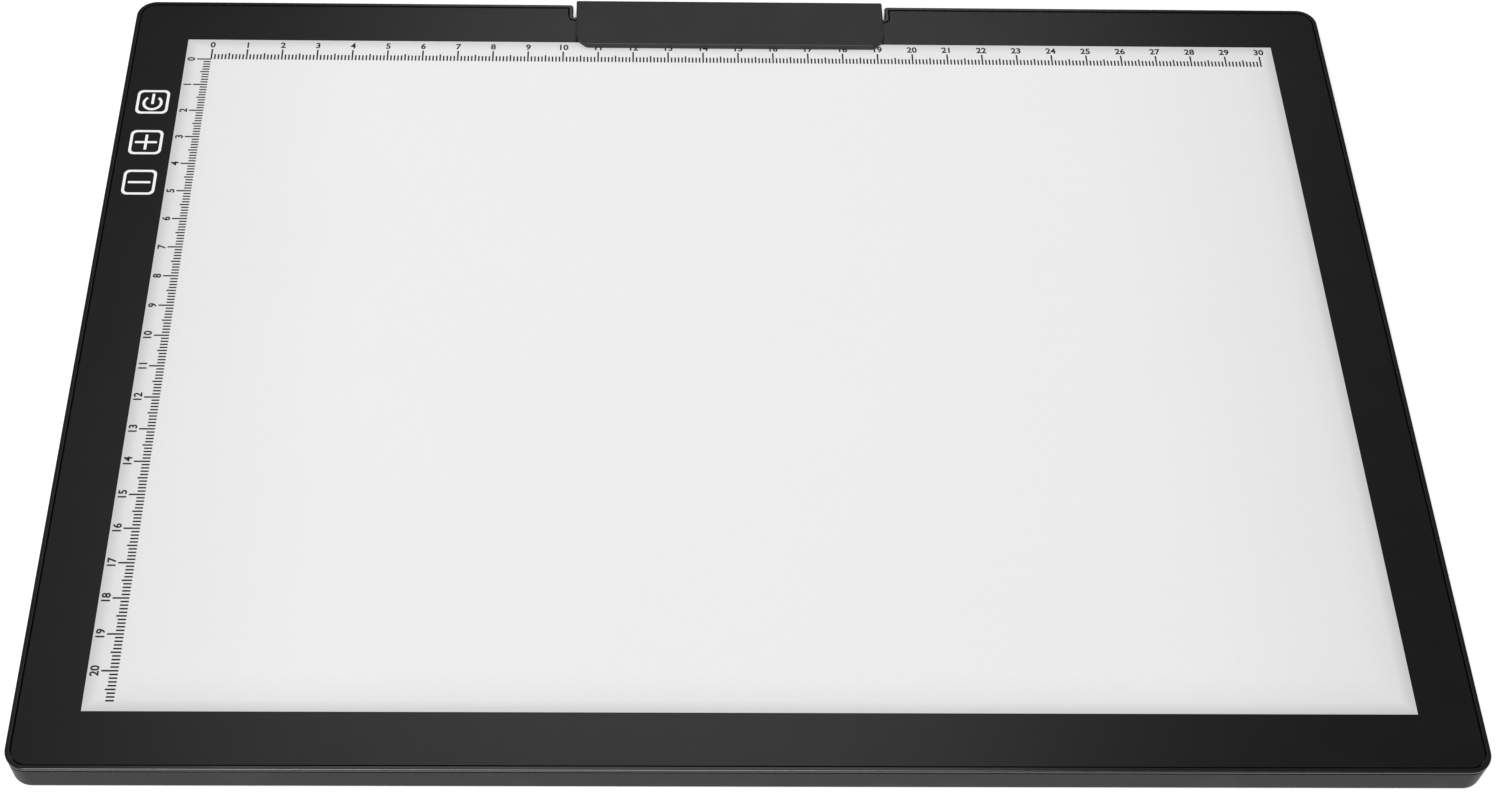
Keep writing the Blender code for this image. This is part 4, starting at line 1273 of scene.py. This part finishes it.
class LIGHTBOX_OT_panel_sheet(bpy.types.Operator):
    """Build the opal drawing panel and its printed border"""

    bl_idname = "light_box.panel_sheet"
    bl_label = "Drawing panel"

    def execute(self, context):
        build_panel(context.scene.light_box_panel, context.scene.light_box_casing)
        return {"FINISHED"}


class LIGHTBOX_OT_rulers(bpy.types.Operator):
    """Print the rulers along the rear and left edges"""

    bl_idname = "light_box.rulers"
    bl_label = "Rulers"

    def execute(self, context):
        build_rulers(context.scene.light_box_ruler, context.scene.light_box_panel)
        return {"FINISHED"}


class LIGHTBOX_OT_keys(bpy.types.Operator):
    """Print the power, plus and minus touch keys"""

    bl_idname = "light_box.keys"
    bl_label = "Touch keys"

    def execute(self, context):
        build_keys(context.scene.light_box_keys, context.scene.light_box_panel)
        return {"FINISHED"}


class LIGHTBOX_OT_clip(bpy.types.Operator):
    """Build the paper clip and its grip strip"""

    bl_idname = "light_box.clip"
    bl_label = "Paper clip"

    def execute(self, context):
        clip = context.scene.light_box_clip
        plastic = moulded_plastic("charcoal moulded plastic", tuple(clip.colour), clip.roughness, 2200.0)
        build_clip(clip, plastic, moulded_rubber("grip rubber", (0.020, 0.020, 0.021)))
        return {"FINISHED"}


class LIGHTBOX_OT_hinge(bpy.types.Operator):
    """Build the hinge pins and the torsion springs"""

    bl_idname = "light_box.hinge"
    bl_label = "Hinge"

    def execute(self, context):
        steel = plated_metal("zinc plated pins", (0.62, 0.63, 0.65), 0.30, (0.1, 1.0, 1.0))
        build_hinge(steel, plated_metal("spring wire", (0.50, 0.50, 0.52), 0.28))
        return {"FINISHED"}


class LIGHTBOX_OT_base(bpy.types.Operator):
    """Build the feet and the screws underneath"""

    bl_idname = "light_box.base"
    bl_label = "Feet and screws"

    def execute(self, context):
        build_feet(moulded_rubber("foot rubber", (0.026, 0.026, 0.027)))
        build_screws(plated_metal("black zinc screws", (0.22, 0.22, 0.23), 0.36))
        return {"FINISHED"}


class LIGHTBOX_OT_socket(bpy.types.Operator):
    """Build the charging socket and the charge light"""

    bl_idname = "light_box.socket"
    bl_label = "Charging socket"

    def execute(self, context):
        steel = plated_metal("nickel socket shell", (0.66, 0.66, 0.68), 0.24, (0.1, 1.0, 1.0))
        black = moulded_plastic("socket tongue plastic", (0.02, 0.02, 0.021), 0.5, 3000.0)
        build_socket(steel, black, plated_metal("gold contacts", (0.86, 0.62, 0.26), 0.26))
        build_charge_light(charge_lens())
        return {"FINISHED"}


class LIGHTBOX_OT_inner_parts(bpy.types.Operator):
    """Give the packed inner parts their finishes"""

    bl_idname = "light_box.inner_parts"
    bl_label = "Inner parts"

    def execute(self, context):
        dress_inner_parts()
        return {"FINISHED"}


class LIGHTBOX_OT_stage(bpy.types.Operator):
    """Set the floor, the lights and the camera"""

    bl_idname = "light_box.stage"
    bl_label = "Stage"

    def execute(self, context):
        build_stage(context.scene.light_box_stage)
        return {"FINISHED"}


OPERATORS = (
    LIGHTBOX_OT_casing, LIGHTBOX_OT_panel_sheet, LIGHTBOX_OT_rulers, LIGHTBOX_OT_keys, LIGHTBOX_OT_clip,
    LIGHTBOX_OT_hinge, LIGHTBOX_OT_base, LIGHTBOX_OT_socket, LIGHTBOX_OT_inner_parts, LIGHTBOX_OT_stage,
)
SETTINGS = {
    "light_box_casing": LIGHTBOX_PG_casing,
    "light_box_panel": LIGHTBOX_PG_panel,
    "light_box_ruler": LIGHTBOX_PG_ruler,
    "light_box_keys": LIGHTBOX_PG_keys,
    "light_box_clip": LIGHTBOX_PG_clip,
    "light_box_stage": LIGHTBOX_PG_stage,
}


class LIGHTBOX_PT_build(bpy.types.Panel):
    """Sidebar panel with every setting and build step of the light box"""

    bl_idname = "LIGHTBOX_PT_build"
    bl_label = "Light box"
    bl_space_type = "VIEW_3D"
    bl_region_type = "UI"
    bl_category = "Light box"

    def draw(self, context):
        for operator in OPERATORS:
            self.layout.operator(operator.bl_idname)
        for name, group in SETTINGS.items():
            column = self.layout.box().column()
            column.label(text=group.__doc__)
            for key in group.__annotations__:
                column.prop(getattr(context.scene, name), key)


CLASSES = (*SETTINGS.values(), *OPERATORS, LIGHTBOX_PT_build)


def register():
    for made in CLASSES:
        bpy.utils.register_class(made)
    for name, group in SETTINGS.items():
        setattr(bpy.types.Scene, name, PointerProperty(type=group))


def unregister():
    for name in SETTINGS:
        delattr(bpy.types.Scene, name)
    for made in reversed(CLASSES):
        bpy.utils.unregister_class(made)


def main():
    register()
    bpy.ops.light_box.casing()
    bpy.ops.light_box.panel_sheet()
    bpy.ops.light_box.rulers()
    bpy.ops.light_box.keys()
    bpy.ops.light_box.clip()
    bpy.ops.light_box.hinge()
    bpy.ops.light_box.base()
    bpy.ops.light_box.socket()
    bpy.ops.light_box.inner_parts()
    bpy.ops.light_box.stage()


if __name__ == "__main__":
    main()
